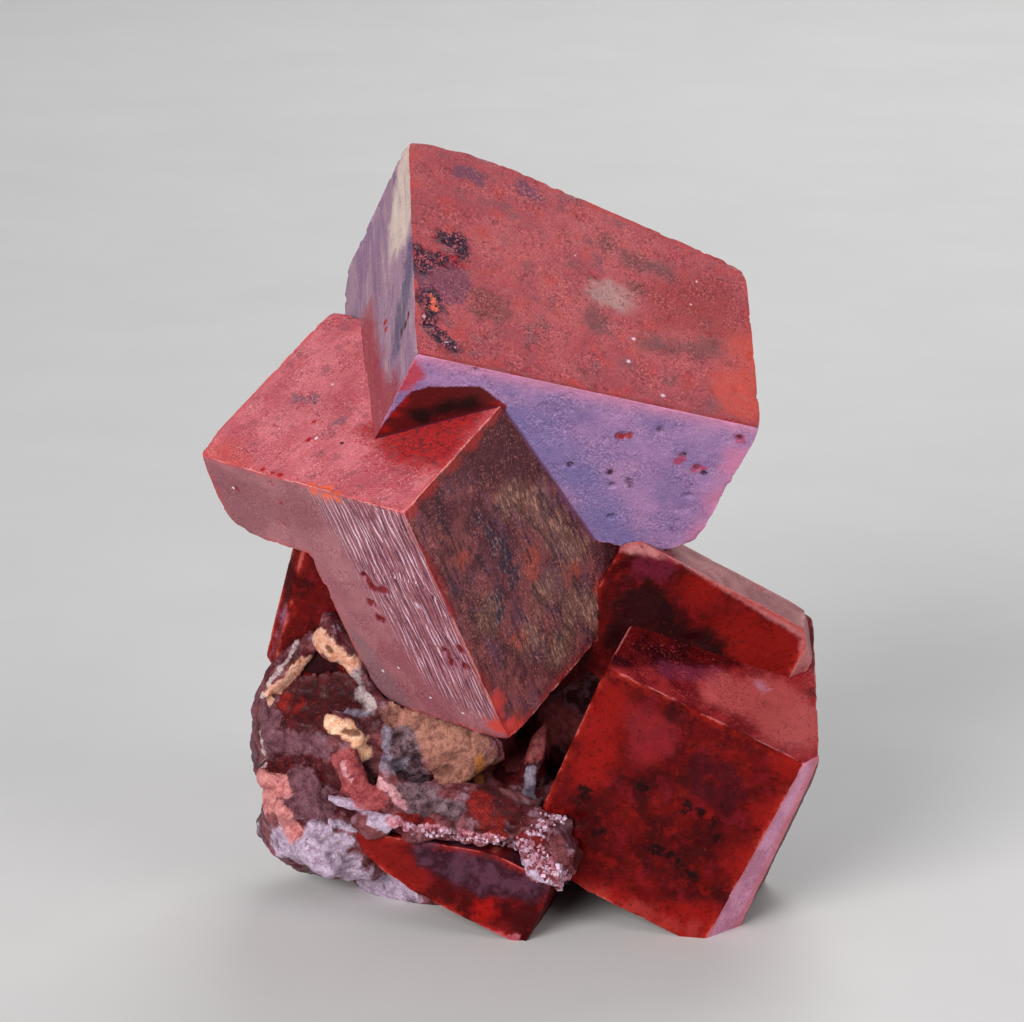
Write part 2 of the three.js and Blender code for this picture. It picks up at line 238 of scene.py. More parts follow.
def turn_matrix(degrees):
    """Turns about x, y and z, applied in the order z, y, x."""
    a, b, c = np.radians(degrees)
    about_x = np.array([[1, 0, 0], [0, math.cos(a), -math.sin(a)], [0, math.sin(a), math.cos(a)]])
    about_y = np.array([[math.cos(b), 0, math.sin(b)], [0, 1, 0], [-math.sin(b), 0, math.cos(b)]])
    about_z = np.array([[math.cos(c), -math.sin(c), 0], [math.sin(c), math.cos(c), 0], [0, 0, 1]])
    return about_x @ about_y @ about_z


def add_planes(crystal):
    """Works out the crystal's frame and the planes that bound it."""
    half = np.array(crystal["size"]) / 2
    normals = [np.eye(3)[axis] * sign for axis in range(3) for sign in (-1, 1)]
    reaches = [half[axis] for axis in range(3) for _ in (-1, 1)]
    for towards, depth in crystal["cuts"]:
        normal = np.array(towards) / np.linalg.norm(towards)
        normals.append(normal)
        reaches.append(half @ abs(normal) - depth)
    crystal["normals"], crystal["reaches"] = np.array(normals), np.array(reaches)
    crystal["frame"] = turn_matrix(crystal["turn"])
    crystal["centre"] = np.array(crystal["centre"], float)


def face_name(crystal, plane):
    """The face's name, which a cut shares with the side that it replaces, or else is "cut"."""
    match = [np.dot(crystal["normals"][plane], crystal["normals"][side]) for side in range(6)]
    return FACES[int(np.argmax(match))] if max(match) > 0.97 else "cut"


def to_local(crystal, points):
    return (points - crystal["centre"]) @ crystal["frame"]


def to_world(crystal, points):
    return points @ crystal["frame"].T + crystal["centre"]


def heights(crystal, local, swell=0.0):
    """How far each point lies outside each plane of the crystal."""
    return local @ crystal["normals"].T - crystal["reaches"] - swell


def edge_distance(crystal, local, plane):
    """How far each point is from the edges of the plane that it lies on."""
    inside = -heights(crystal, local)
    alike = crystal["normals"] @ crystal["normals"].T > 0.95
    return np.where(alike[plane], 99.0, inside).min(axis=1)


CRYSTALS = [TOP, MIDDLE, SIDE_GROWTH, RIGHT, BEHIND, LOWER, LEFT]
for crystal in CRYSTALS:
    add_planes(crystal)


def seen_on(crystal, face, x, y):
    """The place, in the crystal's frame, where pixel x, y of the picture meets one of its faces."""
    plane = FACES.index(face) if isinstance(face, str) else 6 + face
    normal, reach = crystal["normals"][plane], crystal["reaches"][plane]
    start = to_local(crystal, eye)
    ray = sight(x, y) @ crystal["frame"]
    return start + ray * (reach - normal @ start) / (normal @ ray)


print("crystals:", len(CRYSTALS), "with", sum(len(c["reaches"]) for c in CRYSTALS), "faces")

# %% [markdown]
# ## A face as a sheet of triangles
#
# A grid of equal squares would waste points where the face is smooth and starve the ribs. Each face
# gets its own spacing along its two directions, and a few rows of points close to its edges, where
# the worn rounding needs them. Blender's two-dimensional Delaunay tool then joins the points.

# %% Corners, edges and sheets
EDGE_STEP = 0.28  # distance of the points along an edge
ROWS = (0.07, 0.16, 0.3, 0.5)  # rows of points beside an edge


def corners_of(normals, reaches):
    """Every corner where three planes meet, and the corner numbers of each plane."""
    corners, members = [], []
    for trio in combinations(range(len(reaches)), 3):
        matrix = normals[list(trio)]
        if abs(np.linalg.det(matrix)) < 1e-6:
            continue
        corner = np.linalg.solve(matrix, reaches[list(trio)])
        if (normals @ corner < reaches + 1e-6).all():
            corners.append(corner)
            members.append(set(trio))
    return np.array(corners), members


def outline_of(plane, normal, corners, members):
    """The plane's corners in order, anticlockwise as seen from outside, and two directions in it."""
    mine = [i for i, planes in enumerate(members) if plane in planes]
    across = np.eye(3)[int(np.argmin(abs(normal)))] if np.sort(abs(normal))[1] > 1e-6 else None
    if across is None:
        across = np.eye(3)[[i for i in range(3) if abs(normal[i]) < 0.5][0]]
    across = across - normal * (across @ normal)
    across /= np.linalg.norm(across)
    along = np.cross(normal, across)
    middle = corners[mine].mean(axis=0)
    angles = [math.atan2((corners[i] - middle) @ along, (corners[i] - middle) @ across) for i in mine]
    return [mine[k] for k in np.argsort(angles)], across, along


def edge_points(a, b, corners):
    """Points from corner a up to, not including, corner b. Both of the edge's faces get the same."""
    first, last = min(a, b), max(a, b)
    count = max(2, round(np.linalg.norm(corners[a] - corners[b]) / EDGE_STEP))
    share = np.linspace(0, 1, count + 1)[:, None]
    points = corners[first] * (1 - share) + corners[last] * share
    return (points if a == first else points[::-1])[:-1]


def inside_points(flat, spacing, seed):
    """Rows beside the edges and a slightly shaken grid inside, for a convex outline."""
    after = np.roll(flat, -1, axis=0)
    run = after - flat
    length = np.linalg.norm(run, axis=1)
    inward = np.stack([-run[:, 1], run[:, 0]], axis=1) / length[:, None]

    def clearances(points):
        return np.einsum("pkd,kd->pk", points[:, None, :] - flat[None], inward)

    found = []
    for k in range(len(flat)):
        for row in ROWS:
            share = np.arange(0.5, max(1, round(length[k] / EDGE_STEP)), 1.0)[:, None]
            line = flat[k] + run[k] * share / max(1, round(length[k] / EDGE_STEP)) + inward[k] * row
            gap = np.delete(clearances(line), k, axis=1).min(axis=1)
            found.append(line[gap > row + 0.04])
    low, high = flat.min(axis=0), flat.max(axis=0)
    u = np.arange(low[0], high[0], spacing[0])
    v = np.arange(low[1], high[1], spacing[1])
    grid = np.stack(np.meshgrid(u, v, indexing="ij"), axis=-1).reshape(-1, 2)
    shake = np.random.default_rng(seed).uniform(-0.22, 0.22, grid.shape)
    grid = grid + shake * np.array(spacing) * (0.15 if spacing[0] != spacing[1] else 1)
    found.append(grid[clearances(grid).min(axis=1) > ROWS[-1] + 0.12])
    return np.vstack(found)


def sheet_of(plane, crystal, corners, members, spacing):
    """The triangles of one face: its points in the crystal's frame and their numbers."""
    normal = crystal["normals"][plane]
    order, across, along = outline_of(plane, normal, corners, members)
    axes = np.stack([across, along], axis=1)
    ring = np.vstack([edge_points(a, b, corners) for a, b in zip(order, order[1:] + order[:1])])
    inner = inside_points(corners[order] @ axes, spacing, plane)
    flat = np.vstack([ring @ axes, inner]) / np.array(spacing)
    made = delaunay_2d_cdt([Vector(p) for p in flat], [], [list(range(len(ring)))], 1, 1e-6)
    origin = [o[0] for o in made[3]]
    triangles = np.array([[origin[i] for i in face] for face in made[2]])
    lifted = inner @ axes.T + normal * crystal["reaches"][plane]
    return np.vstack([ring, lifted]), triangles


# %% [markdown]
# ## Worn edges
#
# Crystal edges are never knife sharp: they are rubbed round, with small chips. A bevel would be even
# all along. Here each point near an edge is pulled to a ball that rolls inside the planes, and the
# ball's radius varies with the noise, so that a chip is simply a place where the ball is bigger.

# %% Rounding and relief
def rounded(crystal, local, radius):
    """Moves points near the edges onto a rounding of that radius, one for each point."""
    centre = local.copy()
    for _ in range(6):
        for normal, reach in zip(crystal["normals"], crystal["reaches"]):
            over = np.maximum(0, centre @ normal - reach + radius)
            centre -= over[:, None] * normal
    out = local - centre
    away = np.linalg.norm(out, axis=1)
    return centre + out * (radius / np.maximum(away, 1e-6))[:, None]


def wear(local, seed, corners):
    """The radius of the rounded edge at each point: small, with chips, and larger at the corners."""
    chips = smooth(layered(local, 1.1, seed, 3), 0.1, 0.7)
    nearest = np.min([np.linalg.norm(local - corner, axis=1) for corner in corners], axis=0)
    worn = 1 - smooth(nearest, 0.2, 1.8)
    return 0.08 + 0.07 * (1 + noise(local, 0.6, seed + 5)) + 0.32 * chips + 0.4 * worn


def crystal_mesh(crystal, spacing, reliefs, seed):
    """The crystal's whole skin: points in the world, in mm, and triangles."""
    corners, members = corners_of(crystal["normals"], crystal["reaches"])
    points, triangles, count = [], [], 0
    for plane in range(len(crystal["reaches"])):
        if sum(plane in planes for planes in members) < 3:
            continue
        name = face_name(crystal, plane)
        step = spacing.get(name, spacing["rest"])
        face_points, face_triangles = sheet_of(plane, crystal, corners, members, step)
        others = edge_distance(crystal, face_points, np.full(len(face_points), plane))
        relief = reliefs.get(name, reliefs["rest"])
        rise = relief(face_points) * smooth(others, 0.02, 0.3)
        face_points = np.hstack([face_points, rise[:, None] * crystal["normals"][plane]])
        points.append(face_points)
        triangles.append(face_triangles + count)
        count += len(face_points)
    points, triangles = np.vstack(points), np.vstack(triangles)
    _, keep, same = np.unique(np.round(points[:, :3], 5), axis=0, return_index=True, return_inverse=True)
    points, triangles = points[keep], same.reshape(-1)[triangles]
    local = rounded(crystal, points[:, :3], wear(points[:, :3], seed, corners)) + points[:, 3:]
    return to_world(crystal, local), triangles


def block(crystal, swell):
    """The crystal as a plain solid, grown by swell, to cut its neighbours with."""
    grown = dict(crystal, reaches=crystal["reaches"] + swell)
    corners, members = corners_of(grown["normals"], grown["reaches"])
    cloud = bmesh.new()
    for corner in to_world(grown, corners):
        cloud.verts.new(corner)
    bmesh.ops.convex_hull(cloud, input=cloud.verts)
    mesh = bpy.data.meshes.new("block")
    cloud.to_mesh(mesh)
    cloud.free()
    return bpy.data.objects.new("block", mesh)


def mesh_object(name, points, triangles):
    mesh = bpy.data.meshes.new(name)
    mesh.from_pydata(points.tolist(), [], triangles.tolist())
    return bpy.data.objects.new(name, mesh)


def combined(name, first, operations):
    """Joins and cuts solids one after the other, and gives the result as one object, in mm."""
    scene = bpy.context.scene.collection
    used = [first] + [tool for _, tool in operations]
    for thing in used:
        scene.objects.link(thing)
    for operation, tool in operations:
        modifier = first.modifiers.new(operation, "BOOLEAN")
        modifier.operation = operation
        modifier.solver = "MANIFOLD"
        modifier.object = tool
    mesh = bpy.data.meshes.new_from_object(first.evaluated_get(bpy.context.evaluated_depsgraph_get()))
    mesh.name = name
    for thing in used:
        bpy.data.objects.remove(thing)
    made = bpy.data.objects.new(name, mesh)
    scene.objects.link(made)
    return made


def read(items, name, width=3, kind=np.float32):
    """One value, or row of values, for each item of a mesh."""
    values = np.empty(len(items) * width, kind)
    items.foreach_get(name, values)
    return values.reshape(-1, width) if width > 1 else values


def points_of(mesh):
    return read(mesh.vertices, "co").astype(float)


def flat_relief(local):
    return 0.03 * layered(local, 3.0, 3) - 0.02


# %% [markdown]
# ## What the pale crystals' faces carry
#
# The big upper face is finely pitted, with one deeply etched patch at its left. The narrow side
# left of it is streaked along the prism. The middle crystal has a ribbed side, a rough dark side
# and a smooth pink top. All of it could be a bump map, but then the outline and the shadows would
# stay flat, so every rib and pit wider than a hair is shaped in the mesh.

# %% Pits, ribs and streaks
def dents(local, places, radius, depth):
    """Round dents with soft walls at the places."""
    rise = np.zeros(len(local))
    for place in places:
        ragged = np.linalg.norm(local - place, axis=1) + 0.12 * noise(local, 0.5, 8)
        rise -= depth * (1 - smooth(ragged, 0.35 * radius, radius))
    return rise


def corner_pits(local, places, radius, depth, axes):
    """Three-sided pits, as growth leaves them, at places on a face with those two axes."""
    rise = np.zeros(len(local))
    for k, place in enumerate(places):
        offset = (local - place)[:, axes]
        reach = np.full(len(local), -9.0)
        for side in range(3):
            angle = 0.5 + 2.09 * side + 0.4 * k
            reach = np.maximum(reach, offset @ np.array([math.cos(angle), math.sin(angle)]))
        rise -= depth * smooth(1 - reach / (radius * (1 - 0.12 * (k % 3))), 0, 0.7)
    return rise


def specks(local, size, share, depth, seed):
    """Many small pits: share is how many of the grains are sunk."""
    away, value = grains(local, size, seed)
    return -depth * (value > 1 - 2 * share) * (1 - smooth(away, 0.12, 0.42))


ETCHED = [(418, 250), (429, 260), (420, 268), (444, 236), (458, 238), (446, 258), (462, 252)]
ETCHED_LOW = [(424, 294), (436, 299), (430, 310), (430, 324), (440, 335), (451, 345)]
etched_places = [seen_on(TOP, "-y", *at) for at in ETCHED + ETCHED_LOW]


def etched(local):
    """1 in the etched patch of the big upper face, 0 elsewhere."""
    mask = np.zeros(len(local))
    for place in etched_places:
        away = np.linalg.norm(local - place, axis=1) + 0.5 * noise(local, 1.0, 41)
        mask = np.maximum(mask, 1 - smooth(away, 0.6, 1.5))
    return mask


def red_face_relief(local):
    mask = etched(local)
    low_edge = 1 - smooth(local[:, 2] + TOP["size"][2] / 2, 0.3, 1.3)
    ridges = abs(layered(local, 1.1, 21, 3)) - 0.55
    rise = 0.05 * layered(local, 5.0, 22) + 0.035 * layered(local, 0.8, 23, 2) - 0.05
    rise += specks(local, 0.9, 0.22, 0.11, 24) + specks(local, 1.9, 0.1, 0.16, 25)
    return rise * (1 - mask) + mask * 0.5 * ridges + low_edge * 0.2 * (ridges - 0.1)


GASH = [(624, 436)]
SMALL_PITS = [
    (610, 473), (612, 486), (632, 487), (629, 482), (570, 465), (611, 517), (688, 496),
    (660, 430), (739, 439), (476, 371), (697, 468), (704, 474), (684, 456),
]
gash_places = [seen_on(TOP, "-z", x + dx, y) for x, y in GASH for dx in (-5, 0, 5)]
small_pit_places = [seen_on(TOP, "-z", *at) for at in SMALL_PITS]


def lilac_face_relief(local):
    rise = 0.05 * layered(local, 6.0, 31) + 0.018 * layered(local, 0.7, 32, 2) - 0.05
    rise += specks(local, 1.6, 0.12, 0.06, 33)
    return rise + dents(local, gash_places, 0.42, 0.3) + dents(local, small_pit_places, 0.42, 0.24)


def streaked_relief(local):
    streaks = layered(local, (9.0, 0.8, 7.0), 35, 3)
    return 0.12 * streaks + 0.03 * layered(local, 0.9, 36, 2) - 0.1


RIB_PITCH = 0.5
RIB_PITS = [(365, 577), (373, 588), (384, 591), (371, 603), (380, 619)]
FOOT_PITS = [(445, 653), (460, 650), (451, 664), (465, 667)]
SIDE_PITS = [(237, 490), (271, 484), (280, 503), (282, 524), (423, 591), (432, 598)]
rib_pit_places = [seen_on(MIDDLE, "-x", *at) for at in RIB_PITS]
foot_pit_places = [seen_on(MIDDLE, "-x", *at) for at in FOOT_PITS]
side_pit_places = [seen_on(MIDDLE, "-x", *at) for at in SIDE_PITS]


def rib_band(local):
    """1 on the ribbed band beside the middle crystal's front edge, fading to the left and below."""
    across = local[:, 1] + MIDDLE["size"][1] / 2
    along = MIDDLE["size"][2] / 2 - local[:, 2]
    ragged = 2.2 * noise(local, (9.0, 1.0, 9.0), 51) + 1.2 * noise(local, (9.0, 0.4, 2.0), 52)
    return (1 - smooth(across + ragged, 4.6, 8.4)) * (1 - smooth(along + 2.4 * ragged, 16.0, 23.0))


def ribbed_relief(local):
    across = local[:, 1] + 0.25 * noise(local, (9.0, 3.0, 6.0), 53)
    wave = across / RIB_PITCH + 0.35 * noise(local, (9.0, 0.9, 3.0), 54)
    ribs = 1 - 2 * abs(wave - np.floor(wave) - 0.5)
    fine = layered(local, (9.0, 0.3, 3.5), 55, 2)
    band = rib_band(local)
    rise = band * (0.13 * ribs + 0.09 * fine - 0.15) + (1 - band) * 0.05 * layered(local, 3.0, 56) - 0.04
    rise += corner_pits(local, rib_pit_places, 0.42, 0.4, [1, 2])
    rise += corner_pits(local, foot_pit_places, 0.42, 0.4, [1, 2])
    rise += corner_pits(local, side_pit_places, 0.3, 0.25, [1, 2])
    return rise + specks(local, 1.5, 0.14, 0.09, 57) * (1 - band)


def mottled_relief(local):
    grain = layered(local, (1.0, 9.0, 2.6), 61, 4, 0.6)
    cracks = abs(layered(local, (0.7, 9.0, 2.4), 62, 2))
    worn = smooth(layered(local, 5.0, 63, 2), -0.4, 0.5)
    return worn * (0.13 * grain - 0.16 * (1 - smooth(cracks, 0.0, 0.3))) - 0.06


def pink_top_relief(local):
    rise = 0.06 * layered(local, 4.0, 71) + 0.03 * layered(local, 0.7, 72, 2) - 0.05
    return rise + specks(local, 1.1, 0.2, 0.08, 73)


def gem_relief(local):
    rise = 0.09 * layered(local, 5.0, 81, 3) + 0.02 * layered(local, 0.9, 82, 2) - 0.07
    return rise + specks(local, 2.2, 0.2, 0.12, 83)


# %% [markdown]
# ## Growing the upper crystals together
#
# The three upper crystals grew through each other and are one piece. Their skins could be left
# overlapping, but hidden faces inside a solid spoil it for casting and printing. They are joined, so
# that a clean line runs where two of them meet.

# %% The upper crystals
top_mesh = crystal_mesh(
    TOP,
    {"-y": (0.21, 0.21), "-z": (0.24, 0.24), "-x": (0.2, 0.34), "rest": (0.42, 0.42)},
    {"-y": red_face_relief, "+y": red_face_relief, "-z": lilac_face_relief,
     "+z": lilac_face_relief, "-x": streaked_relief, "+x": streaked_relief, "rest": flat_relief},
    1,
)
middle_mesh = crystal_mesh(
    MIDDLE,
    {"-x": (0.12, 0.36), "-y": (0.16, 0.3), "+z": (0.22, 0.22), "rest": (0.42, 0.42)},
    {"-x": ribbed_relief, "+x": ribbed_relief, "-y": mottled_relief, "+y": mottled_relief,
     "+z": pink_top_relief, "rest": flat_relief},
    2,
)


def in_middle_frame(relief):
    """A relief of the middle crystal, for a neighbour that is turned the same way."""
    shift = to_local(MIDDLE, SIDE_GROWTH["centre"])
    return lambda local: relief(local + shift)


side_mesh = crystal_mesh(
    SIDE_GROWTH,
    {"-x": (0.2, 0.25), "+z": (0.22, 0.22), "rest": (0.42, 0.42)},
    {"-x": in_middle_frame(ribbed_relief), "+z": in_middle_frame(pink_top_relief),
     "rest": flat_relief},
    3,
)
upper = combined(
    "pale_crystals",
    mesh_object("top", *top_mesh),
    [("UNION", mesh_object("middle", *middle_mesh)), ("UNION", mesh_object("side", *side_mesh))],
)
print("pale crystals:", len(upper.data.polygons), "triangles")

# %% [markdown]
# ## The deep red crystals and their neighbours
#
# The lower crystals touch the upper ones without being part of them. Each one is cut by its
# neighbours' plain blocks, grown by a hair, so that no two pieces share any space. What would reach
# below the floor is cut off flat.

# %% The deep red crystals
TOUCH = 0.04  # free space between neighbouring crystals

right_mesh = crystal_mesh(RIGHT, {"-y": (0.25, 0.25), "cut": (0.3, 0.3), "rest": (0.4, 0.4)},
                          {"rest": gem_relief}, 4)
behind_mesh = crystal_mesh(BEHIND, {"-y": (0.25, 0.25), "cut": (0.3, 0.3), "rest": (0.35, 0.35)},
                           {"rest": gem_relief}, 5)
lower_mesh = crystal_mesh(LOWER, {"rest": (0.25, 0.25)}, {"rest": gem_relief}, 6)
left_mesh = crystal_mesh(LEFT, {"rest": (0.3, 0.3)}, {"rest": gem_relief}, 7)


def cut_by(*crystals):
    return [("DIFFERENCE", block(crystal, TOUCH)) for crystal in crystals]


def floor_block():
    cube = bmesh.new()
    bmesh.ops.create_cube(cube, size=200)
    bmesh.ops.translate(cube, verts=cube.verts, vec=(0, 0, -100))
    mesh = bpy.data.meshes.new("floor_block")
    cube.to_mesh(mesh)
    cube.free()
    return bpy.data.objects.new("floor_block", mesh)


right = combined(
    "red_crystals",
    mesh_object("right", *right_mesh),
    [("UNION", mesh_object("behind", *behind_mesh)), *cut_by(TOP, MIDDLE, SIDE_GROWTH),
     ("DIFFERENCE", floor_block())],
)
lower = combined("low_red_crystal", mesh_object("lower", *lower_mesh),
                 [*cut_by(RIGHT, BEHIND, TOP, MIDDLE, SIDE_GROWTH), ("DIFFERENCE", floor_block())])
left = combined("small_red_crystal", mesh_object("left", *left_mesh),
                cut_by(TOP, MIDDLE, SIDE_GROWTH))
for piece in (right, lower, left):
    print(piece.name, len(piece.data.polygons), "triangles")

# %% [markdown]
# ## Every triangle knows its face
#
# The finishes differ from face to face, and their patterns have to lie in the crystal's own frame.
# After the solids are joined, each triangle is matched to the crystal and the plane it lies on. Its
# corners then store their place in that crystal's frame and how far they are from an edge, and
# the materials read these as attributes.

# %% Marking the faces
def write(mesh, name, kind, domain, values):
    key = "vector" if kind == "FLOAT_VECTOR" else "value"
    mesh.attributes.new(name, kind, domain).data.foreach_set(key, np.ravel(values).astype(np.float32))


def mark_faces(piece, crystals, finish_of):
    """Stores place, edge and seam distance. Returns the finishes and each triangle's one."""
    mesh = piece.data
    count = len(mesh.polygons)
    normals, centres = read(mesh.polygons, "normal"), read(mesh.polygons, "center")
    best, owner, plane = np.full(count, 99.0), np.zeros(count, int), np.zeros(count, int)
    for k, crystal in enumerate(crystals):
        out = heights(crystal, to_local(crystal, centres))
        on = out.argmax(axis=1)
        facing = (normals @ crystal["frame"] * crystal["normals"][on]).sum(axis=1)
        score = abs(out.max(axis=1)) + 0.8 * (1 - facing)
        closer = score < best
        best = np.where(closer, score, best)
        owner, plane = np.where(closer, k, owner), np.where(closer, on, plane)
    of_loop = np.repeat(np.arange(count), read(mesh.polygons, "loop_total", 1, np.int32))
    at = points_of(mesh)[read(mesh.loops, "vertex_index", 1, np.int32)]
    place, edge, seam = np.zeros_like(at), np.zeros(len(at)), np.full(len(at), 9.0)
    for k, crystal in enumerate(crystals):
        mine = owner[of_loop] == k
        local = to_local(crystal, at[mine])
        edge[mine] = edge_distance(crystal, local, plane[of_loop][mine])
        for twin in crystals:
            if twin is not crystal and twin["turn"] == crystal["turn"]:
                match = (crystal["normals"] @ twin["normals"].T).argmax(axis=1)[plane[of_loop][mine]]
                beyond = edge_distance(twin, to_local(twin, at[mine]), match)
                edge[mine] = np.maximum(edge[mine], beyond)
        home = MIDDLE if crystal is SIDE_GROWTH else crystal
        place[mine] = to_local(home, at[mine])
        for other in crystals:
            if other["turn"] != crystal["turn"]:
                seam[mine] = np.minimum(seam[mine], heights(other, to_local(other, at[mine])).max(axis=1))
    write(mesh, "place", "FLOAT_VECTOR", "CORNER", place)
    write(mesh, "edge", "FLOAT", "CORNER", edge)
    write(mesh, "seam", "FLOAT", "CORNER", seam)
    names = [[finish_of(crystal, p) for p in range(len(crystal["reaches"]))] for crystal in crystals]
    order = sorted({name for row in names for name in row})
    index = np.array([order.index(names[o][p]) for o, p in zip(owner, plane)], np.int32)
    return order, index


def upper_finish(crystal, plane):
    letter = face_name(crystal, plane)[-1]
    if crystal is TOP:
        return {"x": "streaked_side", "y": "red_face", "z": "lilac_face"}.get(letter, "red_face")
    return {"x": "ribbed_side", "y": "mottled_side", "z": "pink_top"}.get(letter, "pink_top")


def right_finish(crystal, plane):
    """The planes after the first six are the cuts, in their order."""
    if crystal is RIGHT:
        return {6: "shoulder", 7: "lilac_strip", 8: "salmon_rim"}.get(plane, "right_gem")
    return "behind_gem" if face_name(crystal, plane) in ("-y", "-x", "-z") else "salmon_rim"


upper_faces = mark_faces(upper, [TOP, MIDDLE, SIDE_GROWTH], upper_finish)
right_faces = mark_faces(right, [RIGHT, BEHIND], right_finish)
lower_faces = mark_faces(lower, [LOWER], lambda crystal, plane: "lower_gem")
left_faces = mark_faces(left, [LEFT], lambda crystal, plane: "left_gem")
print("finishes:", upper_faces[0], right_faces[0])

# %% [markdown]
# ## The rock
#
# The rock is a heap of lumps of several minerals: a forked cream vein, a yellow nodule, salmon lobes,
# lilac-white crusts and dark red hollows between them. Sculpting it by hand would not be repeatable.
# The workshop's plain solid is remeshed into small even cells, so that every part of it has points
# enough to be moved.

# %% Remesh the rock
VOXEL = 0.28

rock = bpy.data.objects.new("rock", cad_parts["matrix"].data.copy())
rock.data.materials.clear()
rock.data.vertices.foreach_set("co", (points_of(rock.data) / MM).astype(np.float32).ravel())
bpy.context.scene.collection.objects.link(rock)
remesh = rock.modifiers.new("remesh", "REMESH")
remesh.mode = "VOXEL"
remesh.voxel_size = VOXEL
even = bpy.data.meshes.new_from_object(rock.evaluated_get(bpy.context.evaluated_depsgraph_get()))
rock.modifiers.clear()
rock.data = even
start = points_of(even)
outward = read(even.vertices, "normal").astype(float)
print("rock:", len(even.polygons), "cells")

# %% [markdown]
# ## Which mineral lies where
#
# The patches of colour on the rock are also its lumps and hollows. Painting them on an image would
# only work from one side. Each patch is a thick stroke through the points that are seen at a few
# pixels of the picture, with a ragged rim: it tints the rock there and lifts or sinks it. Beyond the
# picture's view, noise strews the same minerals over the rest.

# %% Patches on the rock
STROKES = {  # radius and rise in mm, then the pixels that the stroke runs through
    "maroon": [(2.2, -0.1, (300, 700), (350, 690)), (1.6, 0, (290, 720), (320, 724)),
               (1.4, 0, (300, 660), (335, 676)), (2.0, 0, (285, 765), (325, 790)),
               (1.5, 0, (508, 775), (552, 765)), (1.0, 0, (490, 790), (515, 815)),
               (0.9, 0, (572, 818), (581, 850), (574, 882))],
    "mauve": [(1.2, 0, (270, 742), (315, 745)), (1.2, 0, (300, 778), (325, 800)),
              (1.0, 0, (290, 802), (320, 816)), (0.8, 0, (262, 712), (275, 720))],
    "tan": [(2.2, 0.1, (430, 742), (470, 750)), (1.8, 0.15, (450, 772), (478, 772)),
            (1.2, 0, (395, 716), (420, 725))],
    "ochre": [(0.5, 0.05, (479, 760), (480, 780))],
    "gravel": [(1.3, 0, (402, 740), (410, 775), (425, 800)), (1.1, 0, (415, 805), (452, 812))],
    "ember": [(0.5, 0, (309, 666), (300, 676)), (0.8, 0, (286, 700), (296, 706)),
              (0.6, 0.05, (258, 664), (253, 690)), (1.0, 0, (478, 800), (498, 832)),
              (0.5, 0.1, (399, 816), (430, 821)), (0.8, 0, (525, 838), (540, 842))],
    "grey": [(0.6, 0.1, (387, 732), (386, 745)), (0.8, 0.1, (385, 763), (398, 765)),
             (0.4, 0.1, (340, 711), (366, 712)), (0.6, 0.1, (531, 770), (529, 795)),
             (0.5, 0.05, (550, 702), (545, 716))],
    "frost": [(0.6, 0.3, (331, 800), (360, 810), (394, 823)),
              (0.4, 0.1, (372, 822), (392, 832)), (0.4, 0.15, (331, 822), (359, 831)),
              (2.0, 0.1, (285, 850), (310, 866), (350, 878), (395, 890)),
              (1.2, 0.05, (310, 832), (335, 848)), (0.9, 0.05, (528, 860), (560, 880))],
    "crust": [(0.4, 0.15, (390, 820), (407, 826), (450, 831), (508, 841))],
    "salmon": [(1.1, 0.25, (262, 782), (280, 786)), (1.0, 0.2, (268, 800), (283, 815), (292, 832)),
               (0.6, 0.2, (283, 780), (287, 792))],
    # The first two strokes here lie in the deep hollow between the middle crystal's tip and the right
    # crystal; their lighter red there is painted light, brightening the shade of the hollow.
    "pebble_and_cavity_light": [(2.4, -0.1, (530, 690), (560, 660)), (2.0, -0.1, (515, 745), (560, 725)),
               (1.3, 0.15, (345, 762), (352, 778), (365, 795)), (0.9, 0.1, (372, 790), (378, 803))],
    "petal": [(0.45, 0.3, (381, 781), (392, 789), (402, 807)),
              (0.25, 0.15, (343, 762), (344, 772), (352, 779))],
    "chalk": [(0.6, 0.15, (346, 666), (358, 685), (370, 707)), (0.35, 0.1, (258, 734), (264, 764)),
              (0.25, 0.05, (300, 640), (268, 684)), (0.3, 0.05, (260, 694), (270, 702))],
    "cream": [(0.65, 0.15, (318, 648), (295, 672), (267, 698)),
              (1.0, 0.15, (316, 642), (334, 654), (343, 664))],
    "amber": [(0.85, 0.35, (333, 725), (346, 729), (357, 737), (364, 749))],
}
HOLLOWS = [(0.25, 0.1, (344, 731), (357, 733)), (0.25, -0.1, (327, 648), (330, 651))]
# How high the noise must be, away from the strokes, for a mineral to show there.
SPREAD = {"cream": 0.75, "chalk": 0.6, "salmon": 0.6, "frost": 0.4, "tan": 0.45, "ember": 0.7,
          "grey": 0.65, "gravel": 0.4, "maroon": 0.15, "mauve": 0.1}
DOT_GAP = 5  # pixels between the places that make up a stroke

rock_tree = BVHTree.FromPolygons(start.tolist(), [list(cell.vertices) for cell in even.polygons])
shake = np.stack([layered(start, 1.3, seed, 3) for seed in (111, 112, 113)], axis=1)


def hits(tree, *pixels):
    """The points that are seen along a stroke through the pixels."""
    places = []
    for (x0, y0), (x1, y1) in zip(pixels, pixels[1:] or pixels):
        count = max(1, round(math.hypot(x1 - x0, y1 - y0) / DOT_GAP))
        for share in np.linspace(0, 1, count + 1):
            ray = Vector(sight(x0 + (x1 - x0) * share, y0 + (y1 - y0) * share))
            place = tree.ray_cast(Vector(eye), ray)[0]
            if place is not None:
                places.append(place)
    return np.array(places)


def away_from(points, places):
    """The distance from each point to the nearest of the places."""
    nearest = np.full(len(points), 99.0)
    for place in places:
        nearest = np.minimum(nearest, np.linalg.norm(points - place, axis=1))
    return nearest


